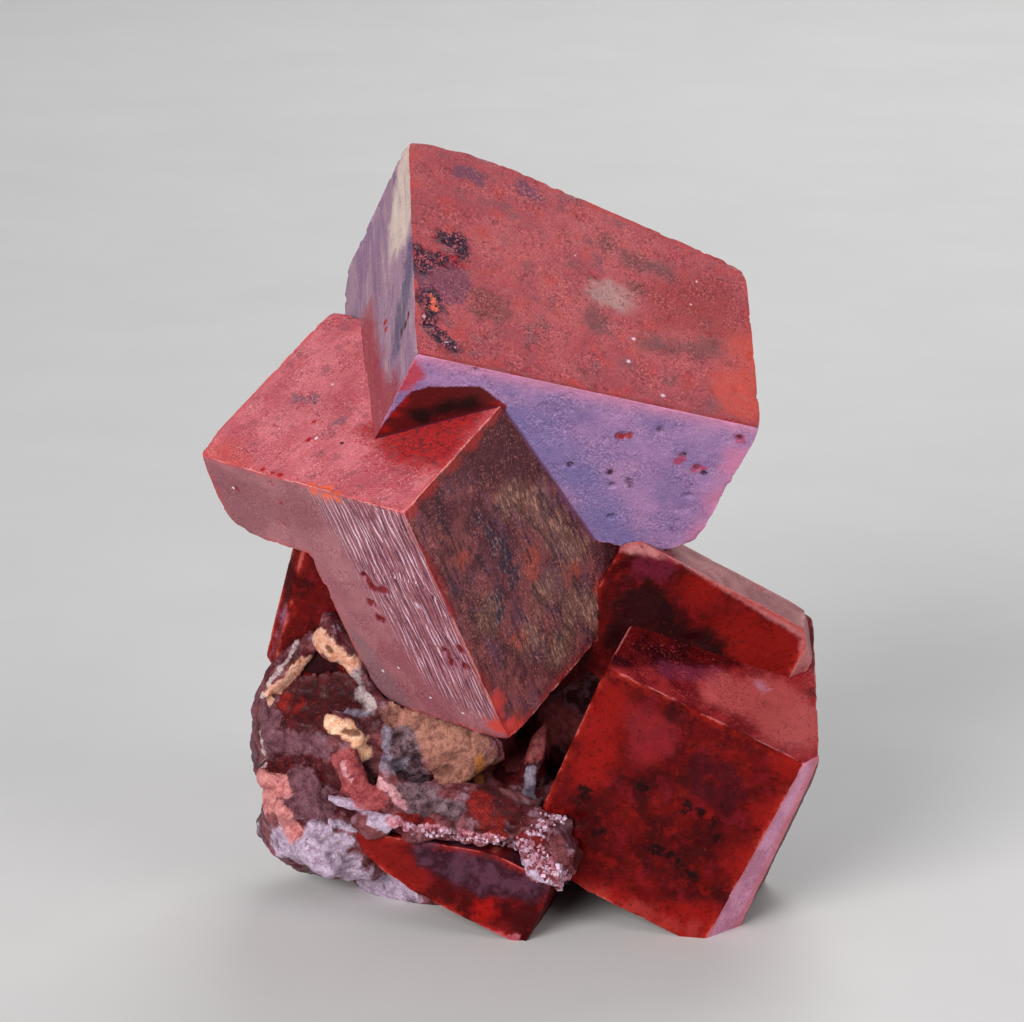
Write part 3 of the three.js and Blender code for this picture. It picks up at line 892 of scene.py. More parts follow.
patches = {name: np.zeros(len(start)) for name in STROKES}
shown, lifted = np.zeros(len(start)), np.zeros(len(start))
for name, strokes in STROKES.items():
    for radius, rise, *pixels in strokes:
        away = away_from(start + min(0.6, 0.4 * radius) * shake, hits(rock_tree, *pixels))
        patches[name] = np.maximum(patches[name], 1 - smooth(away, 0.4 * radius, 1.5 * radius))
        bulge = rise * (1 - smooth(away, 0.2 * radius, 1.3 * radius))
        lifted = np.where(abs(bulge) > abs(lifted), bulge, lifted)
        shown = np.maximum(shown, 1 - smooth(away, radius, 2.5 + radius))
for number, (name, level) in enumerate(SPREAD.items()):
    strewn = smooth(layered(start, 5.5, 120 + number, 4), level, level + 0.5)
    patches[name] = np.maximum(patches[name], strewn * (1 - shown))
brown = np.zeros(len(start))
for radius, depth, *pixels in HOLLOWS:
    inside = 1 - smooth(away_from(start, hits(rock_tree, *pixels)), 0.5 * radius, 1.5 * radius)
    lifted = lifted * (1 - inside) + depth * inside
    brown = np.maximum(brown, inside)
print("patches:", {name: round(float(mask.mean()), 2) for name, mask in patches.items()})

# %% [markdown]
# ## Roughening the rock
#
# Each cell's corner moves along its normal. Smooth swells of a few millimetres come first, then
# creases, then grit that is strongest on the gravelly and crusty patches and weak on the waxy lobes.
# Close to a crystal the rock is only grown until it touches.

# %% Move the rock's points
CLOSE_UP = 0.24  # how far the rock is grown so that it meets the crystals


def clearance(points):
    """How far each point is from the nearest crystal."""
    return np.min([heights(c, to_local(c, points)).max(axis=1) for c in CRYSTALS], axis=0)


rough = np.clip(patches["gravel"] + patches["crust"] + 0.6 * patches["frost"] + 0.4 * (1 - shown), 0, 1)
waxy = np.clip(patches["amber"] + patches["salmon"] + patches["petal"] + patches["pebble_and_cavity_light"], 0, 1)
swells = 0.16 * layered(start, 3.2, 101, 3)
creases = -0.2 * (1 - smooth(abs(layered(start, 2.6, 103, 2)), 0.0, 0.25)) * (1 - waxy)
knob_away, knob_value = grains(start, 1.1, 102)
knobs = 0.26 * rough * (0.5 - knob_away) * (knob_value > -0.3)
grit = layered(start, 0.6, 104, 2) * (0.05 + 0.12 * rough) * (1 - 0.7 * waxy)
relief = swells + creases + knobs + grit + lifted

free = smooth(clearance(start), 0.35, 1.0)
above = smooth(start[:, 2], 0.05, 1.2)
rise = (relief - 0.1) * free * above + CLOSE_UP * (1 - free)
low_corner, high_corner = (np.array(corner) / MM for corner in cad_box)
rock_points = np.clip(start + outward * rise[:, None], low_corner, high_corner)
even.vertices.foreach_set("co", rock_points.astype(np.float32).ravel())
even.update()
for name, mask in {**patches, "brown": brown, "relief": relief}.items():
    write(even, name, "FLOAT", "POINT", mask)
write(even, "place", "FLOAT_VECTOR", "POINT", rock_points)
print("rock moved by", round(float(rise.min()), 2), "to", round(float(rise.max()), 2), "mm")

# %% [markdown]
# ## A druse of tiny crystals
#
# Where the low crystal meets the right one, and along the crust above it, sit crowds of tiny blocks
# of the same mineral. Instances of one block would be light, but the model has to be plain meshes.
# Each block is eight points with a random turn, set on the rock where the picture shows it and no
# crystal hides it, and all of them are one mesh.

# %% Little blocks
STRETCHES = [  # pixels from and to, how many, how far they stray in pixels, and their size in mm
    ((522, 846), (566, 884), 330, 9, 0.26),
    ((530, 836), (560, 815), 90, 7, 0.22),
    ((405, 827), (522, 846), 260, 3, 0.2),
]
BACK_BLOCKS = 300  # blocks on the pale patches that the picture doesn't show


def all_surfaces():
    """One search tree over the rock and every dressed crystal."""
    points, faces, count = [], [], 0
    for mesh in (even, upper.data, right.data, lower.data, left.data):
        points.append(points_of(mesh))
        faces += [[v + count for v in face.vertices] for face in mesh.polygons]
        count += len(mesh.vertices)
    return BVHTree.FromPolygons(np.vstack(points).tolist(), faces)


surfaces = all_surfaces()
dice = np.random.default_rng(5)
CUBE = np.array(list(np.ndindex(2, 2, 2))) - 0.5
SIDES = np.array([[0, 1, 3, 2], [4, 6, 7, 5], [0, 4, 5, 1], [2, 3, 7, 6], [0, 2, 6, 4], [1, 5, 7, 3]])


def little_block(place, edge):
    """A block sunk in the surface: its points, with faces as in SIDES."""
    turn = turn_matrix(dice.uniform(0, 90, 3))
    shape = CUBE * edge * dice.uniform(0.6, 1.3, 3)
    return shape @ turn.T + place


blocks = []
for (x0, y0), (x1, y1), count, stray, edge in STRETCHES:
    for _ in range(count):
        share = dice.uniform()
        x = x0 + (x1 - x0) * share + dice.normal() * stray * 0.6
        y = y0 + (y1 - y0) * share + dice.normal() * stray * 0.6
        place, _, hit_face, _ = surfaces.ray_cast(Vector(eye), Vector(sight(x, y)))
        if place is not None and hit_face < len(even.polygons):
            blocks.append(little_block(np.array(place), edge * dice.uniform(0.5, 1.5)))
behind_spots = dice.choice(np.flatnonzero((patches["frost"] > 0.6) & (shown < 0.2) & (free > 0.9)),
                           BACK_BLOCKS)
for spot in behind_spots:
    blocks.append(little_block(rock_points[spot], 0.4 * dice.uniform(0.5, 1.3)))
block_points = np.clip(np.vstack(blocks), low_corner, high_corner)
block_faces = np.vstack([SIDES + 8 * k for k in range(len(blocks))])
druse = mesh_object("druse", block_points, block_faces)
bpy.context.scene.collection.objects.link(druse)
write(druse.data, "place", "FLOAT_VECTOR", "POINT", block_points)
write(druse.data, "own", "FLOAT", "POINT", np.repeat(dice.uniform(size=len(blocks)), 8))
print("druse:", len(blocks), "little blocks")

# %% [markdown]
# ## Shader maths as sums
#
# A material is a network of nodes, and wiring it by hand hides the idea behind it. One small class
# wraps a socket, so that an expression such as 1 - mask adds the Math node for it. Every other node
# comes from one method that sets the node up and then fills its sockets.

# %% Wires and finishes
def operator(operation, swapped=False):
    def apply(self, other):
        pair = (other, self) if swapped else (self, other)
        return self.finish.node("ShaderNodeMath", {"operation": operation}, dict(enumerate(pair)))
    return apply


class Wire:
    """An output socket that can be used in sums."""

    def __init__(self, finish, socket):
        self.finish, self.socket = finish, socket

    __add__ = __radd__ = operator("ADD")
    __mul__ = __rmul__ = operator("MULTIPLY")
    __sub__, __rsub__ = operator("SUBTRACT"), operator("SUBTRACT", swapped=True)
    __truediv__ = operator("DIVIDE")
    __and__ = operator("MINIMUM")


def colour(red, green, blue):
    """A colour as it looks on a screen, 0 to 255, as the light that Blender reckons with."""
    light = [c / 255 / 12.92 if c < 10.3 else ((c / 255 + 0.055) / 1.055) ** 2.4
             for c in (red, green, blue)]
    return (*light, 1.0)


AREA_DEPTH = 4.0  # how far below its face a marked area reaches


class Finish:
    """One material while its nodes are being made."""

    def __init__(self, name):
        self.material = bpy.data.materials.new(name)
        self.material.use_nodes = True
        self.tree = self.material.node_tree
        self.tree.nodes.clear()

    def node(self, kind, settings=None, values=None, out=0):
        """Adds a node: its settings first, then the values or wires of its sockets."""
        made = self.tree.nodes.new(kind)
        for key, value in (settings or {}).items():
            setattr(made, key, value)
        for key, value in (values or {}).items():
            if isinstance(value, Wire):
                self.tree.links.new(value.socket, made.inputs[key])
            else:
                made.inputs[key].default_value = value
        return Wire(self, made.outputs[out]) if len(made.outputs) else made

    def stored(self, name, out="Fac"):
        return self.node("ShaderNodeAttribute", {"attribute_name": name}, out=out)

    def place(self):
        return self.stored("place", "Vector")

    def vector(self, operation, *values, out=0):
        return self.node("ShaderNodeVectorMath", {"operation": operation}, dict(enumerate(values)), out)

    def noise(self, at, size, seed=0, detail=3.0, rough=0.6, stretch=(1, 1, 1), out="Fac"):
        """Noise from 0 to 1, with bumps about size mm wide, longer along an axis with stretch."""
        shares = tuple(1 / (size * s) for s in stretch)
        moved = self.vector("MULTIPLY_ADD", at, shares, (seed * 7.3, seed * 3.1, seed * 5.7))
        return self.node("ShaderNodeTexNoise", {}, {
            "Vector": moved, "Scale": 1.0, "Detail": detail, "Roughness": rough}, out)

    def torn(self, at, reach=1.0, size=1.5, seed=99):
        """The place, shaken by noise, so that what is measured from it gets a ragged outline."""
        shake = self.vector("SUBTRACT", self.noise(at, size, seed, 5.0, 0.7, out="Color"), (0.5,) * 3)
        return self.vector("MULTIPLY_ADD", shake, (3.0 * reach,) * 3, at)

    def swing(self, value, low, high):
        """0 below low, 1 above high, and an even swing between. Low may be above high."""
        return self.node("ShaderNodeMapRange", {"interpolation_type": "SMOOTHSTEP"},
                         {"Value": value, "From Min": low, "From Max": high})

    def mix(self, a, b, share):
        return self.node("ShaderNodeMix", {"data_type": "RGBA"}, {0: share, 6: a, 7: b}, out=2)

    def blot(self, at, centres, radius, soft=0.4, ragged=0.0):
        """1 around the centres, which run together where they are close, and 0 farther out."""
        field = ragged
        for centre in centres:
            away = self.vector("DISTANCE", at, tuple(centre), out=1)
            field = field + self.swing(away, 2 * radius, 0.0)
        return self.swing(field, 0.5 - soft / 2, 0.5 + soft / 2)

    def area(self, at, corners, soft=0.3, ragged=0.0):
        """1 inside a convex outline on a flat face and just below it, 0 outside. All in mm."""
        corners = np.array(corners)
        normal = np.cross(corners[1] - corners[0], corners[2] - corners[0])
        normal /= np.linalg.norm(normal)
        above = self.vector("DOT_PRODUCT", at, tuple(normal), out=1) - float(normal @ corners[0])
        inside = (AREA_DEPTH - above) & (AREA_DEPTH + above)
        for a, b in zip(corners, np.roll(corners, -1, axis=0)):
            inward = np.cross(normal, b - a)
            inward /= np.linalg.norm(inward) * np.sign(inward @ (corners.mean(axis=0) - a))
            depth = self.vector("DOT_PRODUCT", at, tuple(inward), out=1) - float(inward @ a)
            inside = inside & depth
        return self.swing(inside + ragged, -soft / 2, soft / 2)

    def surface(self, base, roughness, height, depth, coat=0.08, clear=0.2, specular=0.25):
        """The shader itself. Depth is the bump's depth in mm, and clear is the coat's roughness."""
        bump = self.node("ShaderNodeBump", {}, {
            "Height": height, "Distance": depth * MM, "Strength": 1.0})
        shader = self.node("ShaderNodeBsdfPrincipled", {}, {
            "Base Color": base, "Roughness": roughness, "Normal": bump, "Coat Weight": coat,
            "Coat Roughness": clear, "Specular IOR Level": specular})
        self.node("ShaderNodeOutputMaterial", {}, {"Surface": shader})
        return self.material


# %% [markdown]
# ## The pale crystals' finishes
#
# The pale red comes from a thin stain under a clear skin. A see-through shader would lose the
# colour in so small a crystal, so the colour is laid on the surface, with a thin clear coat for
# the soft shine. Spots named after what they are sit where the real ones do. Light and shade are
# painted in as well: the lilac of the underside is a painted reflection, and the dark corner where
# the crystals meet, the bluish patch and the glow and pale lines along the edges are painted shade
# and light.

# %% The big red face
def axis_of(f, at, name):
    """One coordinate of a place."""
    return f.node("ShaderNodeSeparateXYZ", {}, {0: at}, name)


def seen(crystal, face, *pixels):
    return [seen_on(crystal, face, x, y) for x, y in pixels]


def spotted(f, base, torn, crystal, face, spots):
    """Lays spots on a face. Each has a name, colour, strength, radius, softness and its pixels."""
    for _, tint, strength, radius, soft, *pixels in spots:
        mask = f.blot(torn, seen(crystal, face, *pixels), radius, soft)
        base = f.mix(base, colour(*tint), mask * strength)
    return base


def speckled(f, at, base, dark, pale, seed, amount=1.0):
    """Crowds of tiny dark and pale specks, denser here and there. Also gives their height."""
    tiny, small = f.noise(at, 0.17, seed, 2.0, 0.6), f.noise(at, 0.5, seed + 1, 4.0, 0.75)
    crowd = f.swing(f.noise(at, 2.2, seed + 2, 3.0), 0.4, 0.62) * 0.65 + 0.35
    base = f.mix(base, dark, f.swing(small, 0.52, 0.66) * crowd * (0.7 * amount))
    base = f.mix(base, dark, f.swing(tiny, 0.54, 0.66) * crowd * (0.65 * amount))
    base = f.mix(base, pale, f.swing(tiny, 0.46, 0.34) * crowd * (0.5 * amount))
    return base, small * 0.5 + tiny * 0.5


def dots(f, at, base, tint, places, radius):
    """Small single dots with a ragged rim."""
    return f.mix(base, tint, f.blot(f.torn(at, 0.12, 0.3), places, radius, 0.5))


def red_face():
    f = Finish("red_face")
    at = f.place()
    torn = f.torn(at)
    cloud = f.noise(at, 5.0, 1)
    base = f.mix(colour(160, 62, 72), colour(184, 84, 88), f.swing(cloud, 0.35, 0.65))
    base = f.mix(base, colour(190, 60, 56), f.swing(f.noise(at, 2.0, 3, 5.0), 0.52, 0.68) * 0.7)
    base = f.mix(base, colour(124, 70, 78), f.swing(f.noise(at, 2.5, 4, 6.0), 0.53, 0.66) * 0.7)
    deep = f.area(torn, seen(TOP, "-y", (645, 288), (700, 270), (738, 292), (742, 340), (650, 328)), 3.0)
    base = f.mix(base, colour(156, 50, 50), deep * 0.8)
    base = spotted(f, base, torn, TOP, "-y", [
        ("smudge", (92, 58, 60), 0.65, 0.9, 0.95, (604, 241), (628, 258), (645, 264), (666, 272),
         (634, 288), (592, 318), (601, 328), (650, 346), (672, 349), (695, 350), (712, 345)),
        ("olive", (110, 52, 52), 0.7, 0.9, 0.7, (480, 296), (495, 300), (502, 312), (482, 312)),
        ("cream", (178, 138, 134), 0.9, 1.2, 0.8, (602, 293), (618, 300)),
        ("purple", (104, 58, 84), 0.85, 0.75, 0.6, (463, 172), (478, 177), (520, 184), (531, 192)),
    ])
    plain = f.area(torn, seen(TOP, "-y", (416, 270), (458, 264), (473, 284), (463, 303), (418, 301)), 0.5)
    base = f.mix(base, colour(110, 58, 82), plain * 0.85)
    base, fine = speckled(f, at, base, colour(96, 16, 30), colour(232, 128, 126), 6)
    pits = f.blot(torn, etched_places, 0.8, 0.8)
    base = f.mix(base, colour(42, 22, 44), pits * f.swing(fine, 0.42, 0.5))
    base = f.mix(base, colour(168, 118, 142), pits * f.swing(fine, 0.42, 0.36))
    inner = f.blot(torn, seen(TOP, "-y", (447, 257), (456, 262)), 0.5, 0.4)
    base = f.mix(base, colour(190, 50, 60), inner * f.swing(fine, 0.56, 0.46))
    spark = f.blot(torn, seen(TOP, "-y", (427, 296), (431, 302), (434, 307)), 0.36, 0.5)
    base = f.mix(base, colour(232, 108, 78), spark * f.swing(fine, 0.58, 0.5))
    ridges = f.blot(f.torn(at, 0.2, 0.5), seen(TOP, "-y", (424, 316), (430, 327), (438, 336), (447, 343),
                                               (456, 347)), 0.16, 0.6)
    base = f.mix(base, colour(222, 168, 182), ridges * 0.8)
    base = dots(f, at, base, colour(222, 190, 212), seen(TOP, "-y", (634, 338), (629, 361), (663, 395)), 0.18)
    # Small pale dots; the three at (545, 180), (556, 187) and (472, 270) are painted glints.
    base = dots(f, at, base, colour(230, 190, 200), seen(TOP, "-y", (576, 255), (691, 304), (697, 281),
                                                         (545, 180), (556, 187), (472, 270)), 0.11)
    low = axis_of(f, at, "Z") + fine * 1.6 + TOP["size"][2] / 2
    base = f.mix(base, colour(136, 18, 30), f.swing(low, 1.35, 0.85) * 0.9)
    base = spotted(f, base, torn, TOP, "-y", [
        ("warm", (206, 74, 58), 0.7, 2.0, 0.9, (752, 400), (738, 390), (754, 350)),
    ])
    # Painted light: an orange-red glow near the edges, where light comes through the thin crystal.
    rim = f.swing(f.stored("edge") + fine * 1.2, 1.2, 0.5) * f.swing(cloud, 0.4, 0.6)
    base = f.mix(base, colour(196, 62, 56), rim * 0.7)
    return f.surface(base, 0.4 + fine * 0.2, fine, 0.3)


def lilac_face():
    f = Finish("lilac_face")
    at = f.place()
    torn = f.torn(at, 0.7)
    cloud = f.noise(at, 4.0, 11)
    # Painted reflection: the lilac of this face stands for cool light mirrored in its smooth surface.
    base = f.mix(colour(124, 100, 144), colour(158, 118, 158), f.swing(cloud, 0.35, 0.66))
    # Painted shade: the bluish patch is a painted bluish shadow on this face.
    base = spotted(f, base, torn, TOP, "-z", [
        ("blue", (104, 98, 148), 0.65, 2.0, 0.9, (520, 425), (548, 445), (578, 475), (600, 508),
         (612, 540)),
    ])
    base, fine = speckled(f, at, base, colour(88, 50, 96), colour(208, 172, 206), 12, 0.75)
    top_edge = f.swing(axis_of(f, at, "Y") + fine * 2.0, -5.4, -7.6)
    base = f.mix(base, colour(194, 122, 152), top_edge * 0.85)
    base = spotted(f, base, torn, TOP, "-z", [
        ("right_edge", (190, 114, 146), 0.8, 1.8, 0.9, (742, 462), (728, 500), (712, 535), (700, 560)),
        ("corner", (170, 46, 56), 0.85, 0.8, 0.7, (409, 366), (402, 386), (416, 376)),
    ])
    # Painted shade and reflection: where this face hangs over the middle crystal's top it lies in shadow,
    # darkest in the middle, with a painted red glow of light thrown back from the red faces around it.
    overhang_shade = f.area(f.torn(at, 0.15, 0.8), seen(
        TOP, "-z", (373, 438), (389, 416), (411, 392), (428, 387), (481, 387), (506, 406), (506, 430),
        (380, 450)), 0.25)
    middle = f.blot(torn, seen(TOP, "-z", (420, 416), (445, 408), (470, 404)), 0.9, 0.9)
    base = f.mix(base, f.mix(colour(78, 4, 6), colour(14, 0, 0), middle), overhang_shade)
    glow = f.blot(torn, seen(TOP, "-z", (384, 430), (392, 414), (402, 402), (500, 404)), 0.55, 0.8)
    base = f.mix(base, colour(138, 10, 10), glow * overhang_shade * 0.85)
    base = dots(f, at, base, colour(128, 8, 12), gash_places, 0.36)
    base = spotted(f, base, torn, TOP, "-z", [
        ("rings", (158, 46, 74), 0.8, 0.5, 0.5, (739, 438), (697, 470), (681, 461)),
    ])
    base = dots(f, at, base, colour(46, 14, 36), small_pit_places, 0.3)
    # Painted highlight: a pale pink line of light along the edges, left out of the shaded corner.
    rim = f.swing(f.stored("edge") + fine * 0.5, 0.5, 0.25)
    base = f.mix(base, colour(208, 132, 154), rim * 0.5 * (1 - overhang_shade))
    # Painted shade where this face meets the other crystals.
    contact_shade = f.swing(f.stored("seam") + fine * 0.4, 0.45, 0.2)
    base = f.mix(base, colour(80, 22, 42), contact_shade * 0.8)
    return f.surface(base, 0.4 + fine * 0.2, fine, 0.16)


# %% The streaked side and the ribs
def streaked_side():
    f = Finish("streaked_side")
    at = f.place()
    torn = f.torn(at)
    streak = f.noise(at, 0.6, 21, 4.0, 0.65, stretch=(12, 1, 9))
    broad = f.noise(at, 2.2, 22, 2.0, 0.5, stretch=(6, 1, 4))
    base = f.mix(colour(136, 102, 130), colour(156, 122, 138), f.swing(broad, 0.36, 0.62))
    base = spotted(f, base, torn, TOP, "-x", [
        ("cream", (206, 184, 172), 0.95, 2.4, 0.9, (413, 140), (408, 160), (404, 185), (404, 210),
         (398, 222)),
        ("blue", (74, 68, 96), 0.8, 1.3, 0.9, (411, 246), (409, 262), (408, 280), (402, 300),
         (399, 320), (395, 342)),
    ])
    base = f.mix(base, colour(206, 182, 178), f.swing(streak, 0.53, 0.66) * 0.25)
    base = f.mix(base, colour(84, 66, 100), f.swing(streak, 0.46, 0.34) * 0.35)
    base = spotted(f, base, torn, TOP, "-x", [
        ("foot", (146, 40, 46), 0.85, 2.2, 0.9, (364, 330), (368, 358), (373, 384), (378, 410),
         (376, 430), (390, 402)),
    ])
    base, fine = speckled(f, at, base, colour(92, 36, 58), colour(214, 190, 196), 23, 0.55)
    base = dots(f, at, base, colour(160, 30, 36), seen(TOP, "-x", (384, 322), (385, 329)), 0.3)
    base = dots(f, at, base, colour(74, 16, 30), seen(TOP, "-x", (400, 332), (404, 324), (408, 316)), 0.35)
    return f.surface(base, 0.42 + fine * 0.15, streak * 0.5 + fine * 0.5, 0.2)


RIDGE_PITCH = 0.4  # distance between the pale lines of the ribbed side, in mm


def ribbed_side():
    f = Finish("ribbed_side")
    at = f.place()
    torn = f.torn(at)
    cloud = f.noise(at, 4.5, 33)
    base = f.mix(colour(140, 76, 86), colour(158, 98, 104), f.swing(cloud, 0.35, 0.65))
    base = spotted(f, base, torn, MIDDLE, "-x", [
        ("muddy", (128, 92, 98), 0.8, 2.0, 0.9, (350, 640), (365, 665), (385, 690), (400, 712)),
        ("shade", (122, 60, 70), 0.7, 2.5, 0.9, (225, 495), (250, 500), (300, 515), (235, 515)),
    ])
    base, fine = speckled(f, at, base, colour(92, 26, 40), colour(206, 150, 158), 35, 0.7)
    band = f.area(torn, seen(MIDDLE, "-x", (316, 497), (402, 510), (505, 722), (470, 715), (425, 680)), 3.0)
    wander = f.noise(at, 0.9, 31, 2.0, 0.5, stretch=(9, 1, 6)) * 2.2
    wave = f.node("ShaderNodeMath", {"operation": "PINGPONG"},
                  {0: axis_of(f, at, "Y") / RIDGE_PITCH + wander, 1: 0.5})
    broken = f.noise(at, 0.35, 32, 2.0, 0.6, stretch=(6, 1, 6))
    gaps = f.swing(wave, 0.2, 0.06) * f.swing(broken, 0.38, 0.52)
    lines = f.swing(wave, 0.33, 0.45) * f.swing(broken, 0.62, 0.48)
    base = f.mix(base, colour(84, 40, 62), band * gaps * 0.9)
    base = f.mix(base, colour(222, 190, 208), band * lines * 0.85)
    pit_places = rib_pit_places + foot_pit_places
    base = dots(f, at, base, colour(158, 98, 118), pit_places, 0.62)
    base = dots(f, at, base, colour(108, 6, 12), pit_places, 0.52)
    base = dots(f, at, base, colour(120, 20, 30), side_pit_places, 0.26)
    base = dots(f, at, base, colour(224, 206, 218), seen(
        MIDDLE, "-x", (345, 633), (383, 671), (430, 698), (398, 668), (463, 714), (233, 488)), 0.13)
    base = spotted(f, base, torn, MIDDLE, "-x", [
        ("crumbs", (228, 92, 52), 0.8, 0.5, 0.6, (314, 492), (326, 496), (338, 499)),
        ("foot", (200, 62, 46), 0.85, 0.8, 0.7, (503, 728), (512, 738), (492, 726)),
    ])
    # Painted light: a red glow near the edges, where light comes through the thin crystal.
    rim = f.swing(f.stored("edge") + fine * 1.4, 1.25, 0.6) * f.swing(cloud, 0.35, 0.55)
    base = f.mix(base, colour(180, 56, 52), rim * 0.8)
    return f.surface(base, 0.4 + fine * 0.2, fine * 0.5 + wave * band, 0.2, coat=0.1, specular=0.3)


# %% The rough side and the pink top
def mottled_side():
    f = Finish("mottled_side")
    at = f.place()
    torn = f.torn(at)
    fibre = f.noise(at, 0.2, 41, 3.0, 0.65, stretch=(1, 8, 4))
    streak = f.noise(at, 0.5, 42, 4.0, 0.65, stretch=(1, 8, 5))
    broad = f.noise(at, 2.4, 43, 5.0, 0.6)
    base = f.mix(colour(84, 32, 40), colour(128, 64, 66), f.swing(broad, 0.4, 0.6))
    mauve = f.noise(at, 1.6, 44, 4.0, 0.6, (1, 4, 2))
    base = f.mix(base, colour(104, 60, 80), f.swing(mauve, 0.5, 0.62) * 0.8)
    calm = f.area(torn, seen(MIDDLE, "-y", (455, 440), (498, 406), (560, 478), (540, 480), (440, 480)), 2.5)
    base = f.mix(base, colour(76, 24, 30), calm * 0.85)
    ochre = f.blot(torn, seen(MIDDLE, "-y", (510, 498), (535, 506), (556, 528), (575, 550), (548, 590),
                              (575, 605), (596, 612), (490, 615), (530, 640), (560, 650)), 1.5, 0.9)
    base = f.mix(base, colour(120, 84, 70), ochre * 0.6)
    base = f.mix(base, colour(188, 138, 118), ochre * f.swing(fibre, 0.5, 0.64) * 0.8)
    base = spotted(f, base, torn, MIDDLE, "-y", [
        ("glow", (160, 66, 54), 0.8, 0.8, 0.8, (532, 556), (534, 570), (574, 572), (466, 556),
         (520, 640)),
    ])
    base = f.mix(base, colour(40, 26, 40), f.swing(streak, 0.53, 0.63) * (1 - calm) * 0.75)
    blue = f.blot(torn, seen(MIDDLE, "-y", (480, 518), (490, 534), (499, 548), (507, 562), (514, 578),
                             (496, 598), (501, 614)), 0.8, 0.7)
    base = f.mix(base, colour(34, 30, 54), blue * f.swing(fibre, 0.42, 0.54) * 0.95)
    base = f.mix(base, colour(150, 130, 136), blue * f.swing(fibre, 0.44, 0.36) * 0.7)
    base, fine = speckled(f, at, base, colour(50, 14, 24), colour(206, 130, 116), 46, 0.8)
    base = spotted(f, base, torn, MIDDLE, "-y", [
        ("upper", (164, 44, 38), 0.8, 0.8, 0.9, (492, 416), (474, 438), (454, 462), (430, 488),
         (412, 508)),
    ])
    # Painted light: a red glow near the edges, where light comes through the thin crystal.
    rim = f.swing(f.stored("edge") + fine * 2.0, 2.2, 0.9)
    base = f.mix(base, colour(160, 36, 34), rim * f.swing(broad, 0.62, 0.4) * 0.9)
    base = spotted(f, base, torn, MIDDLE, "-y", [
        ("blotch", (200, 58, 50), 0.85, 1.0, 0.8, (618, 572), (604, 584), (498, 706), (506, 734),
         (514, 729)),
    ])
    # Painted highlight: a pale line right on the edges.
    line = f.swing(f.stored("edge") + fine * 0.3, 0.36, 0.22) * f.swing(broad, 0.42, 0.54)
    base = f.mix(base, colour(222, 140, 130), line * 0.7)
    return f.surface(base, 0.45 + fine * 0.25, fine * 0.5 + fibre * 0.7, 0.4, coat=0.1, specular=0.3)


def pink_top():
    f = Finish("pink_top")
    at = f.place()
    torn = f.torn(at)
    cloud = f.noise(at, 3.5, 51)
    base = f.mix(colour(186, 84, 94), colour(210, 112, 120), f.swing(cloud, 0.35, 0.65))
    base = f.mix(base, colour(146, 78, 90), f.swing(f.noise(at, 1.6, 53, 5.0), 0.54, 0.68) * 0.7)
    base = spotted(f, base, torn, MIDDLE, "+z", [
        ("grey", (122, 80, 96), 0.8, 0.65, 0.5, (339, 421), (313, 397), (296, 397)),
    ])
    ember = f.area(torn, seen(MIDDLE, "+z", (190, 445), (232, 436), (250, 468), (200, 470)), 2.0)
    base = f.mix(base, colour(196, 76, 64), ember * 0.6)
    base, fine = speckled(f, at, base, colour(136, 22, 34), colour(246, 170, 170), 54, 0.9)
    # Painted shade: the corner of this top under the big crystal's overhang is painted dark red, as it lies
    # in shadow.
    nook_shade = f.area(torn, seen(MIDDLE, "+z", (360, 428), (510, 380), (446, 470), (392, 466)), 2.6,
                  fine * 4 - 1.9)
    base = f.mix(base, f.mix(colour(86, 2, 6), colour(176, 22, 22), f.swing(fine, 0.42, 0.54)), nook_shade * 0.9)
    base = dots(f, at, base, colour(236, 206, 212), seen(MIDDLE, "+z", (317, 423), (316, 438), (250, 467),
                                                         (332, 383)), 0.17)
    base = dots(f, at, base, colour(170, 16, 18), seen(MIDDLE, "+z", (308, 439), (313, 420), (262, 468),
                                                       (272, 471), (280, 474)), 0.28)
    base = dots(f, at, base, colour(40, 16, 26), seen(MIDDLE, "+z", (342, 443), (256, 470)), 0.18)
    base = spotted(f, base, torn, MIDDLE, "+z", [
        ("crumbs", (236, 96, 54), 0.85, 0.45, 0.6, (312, 486), (324, 489), (336, 493), (350, 499)),
    ])
    # Painted light: a red glow near the edges, where light comes through the thin crystal.
    rim = f.swing(f.stored("edge") + fine * 1.4, 1.3, 0.6)
    base = f.mix(base, colour(192, 46, 44), rim * f.swing(cloud, 0.38, 0.6) * 0.8)
    # Painted highlight: a pale line right on the edges.
    line = f.swing(f.stored("edge") + fine * 0.3, 0.34, 0.2) * f.swing(cloud, 0.4, 0.5)
    base = f.mix(base, colour(242, 168, 160), line * 0.7)
    return f.surface(base, 0.4 + fine * 0.2, fine, 0.22, coat=0.1)


# %% [markdown]
# ## The deep red finishes
#
# The lower crystals are a deep, clear red that looks nearly black where it is thick and glows orange
# at thin edges. That could be traced through a see-through solid. Laying the depth of the colour on
# the skin is quicker and keeps it the same in every view: dark clouds inside, and near the edges a
# painted orange glow for the light that comes through them, with a painted pale highlight on them.

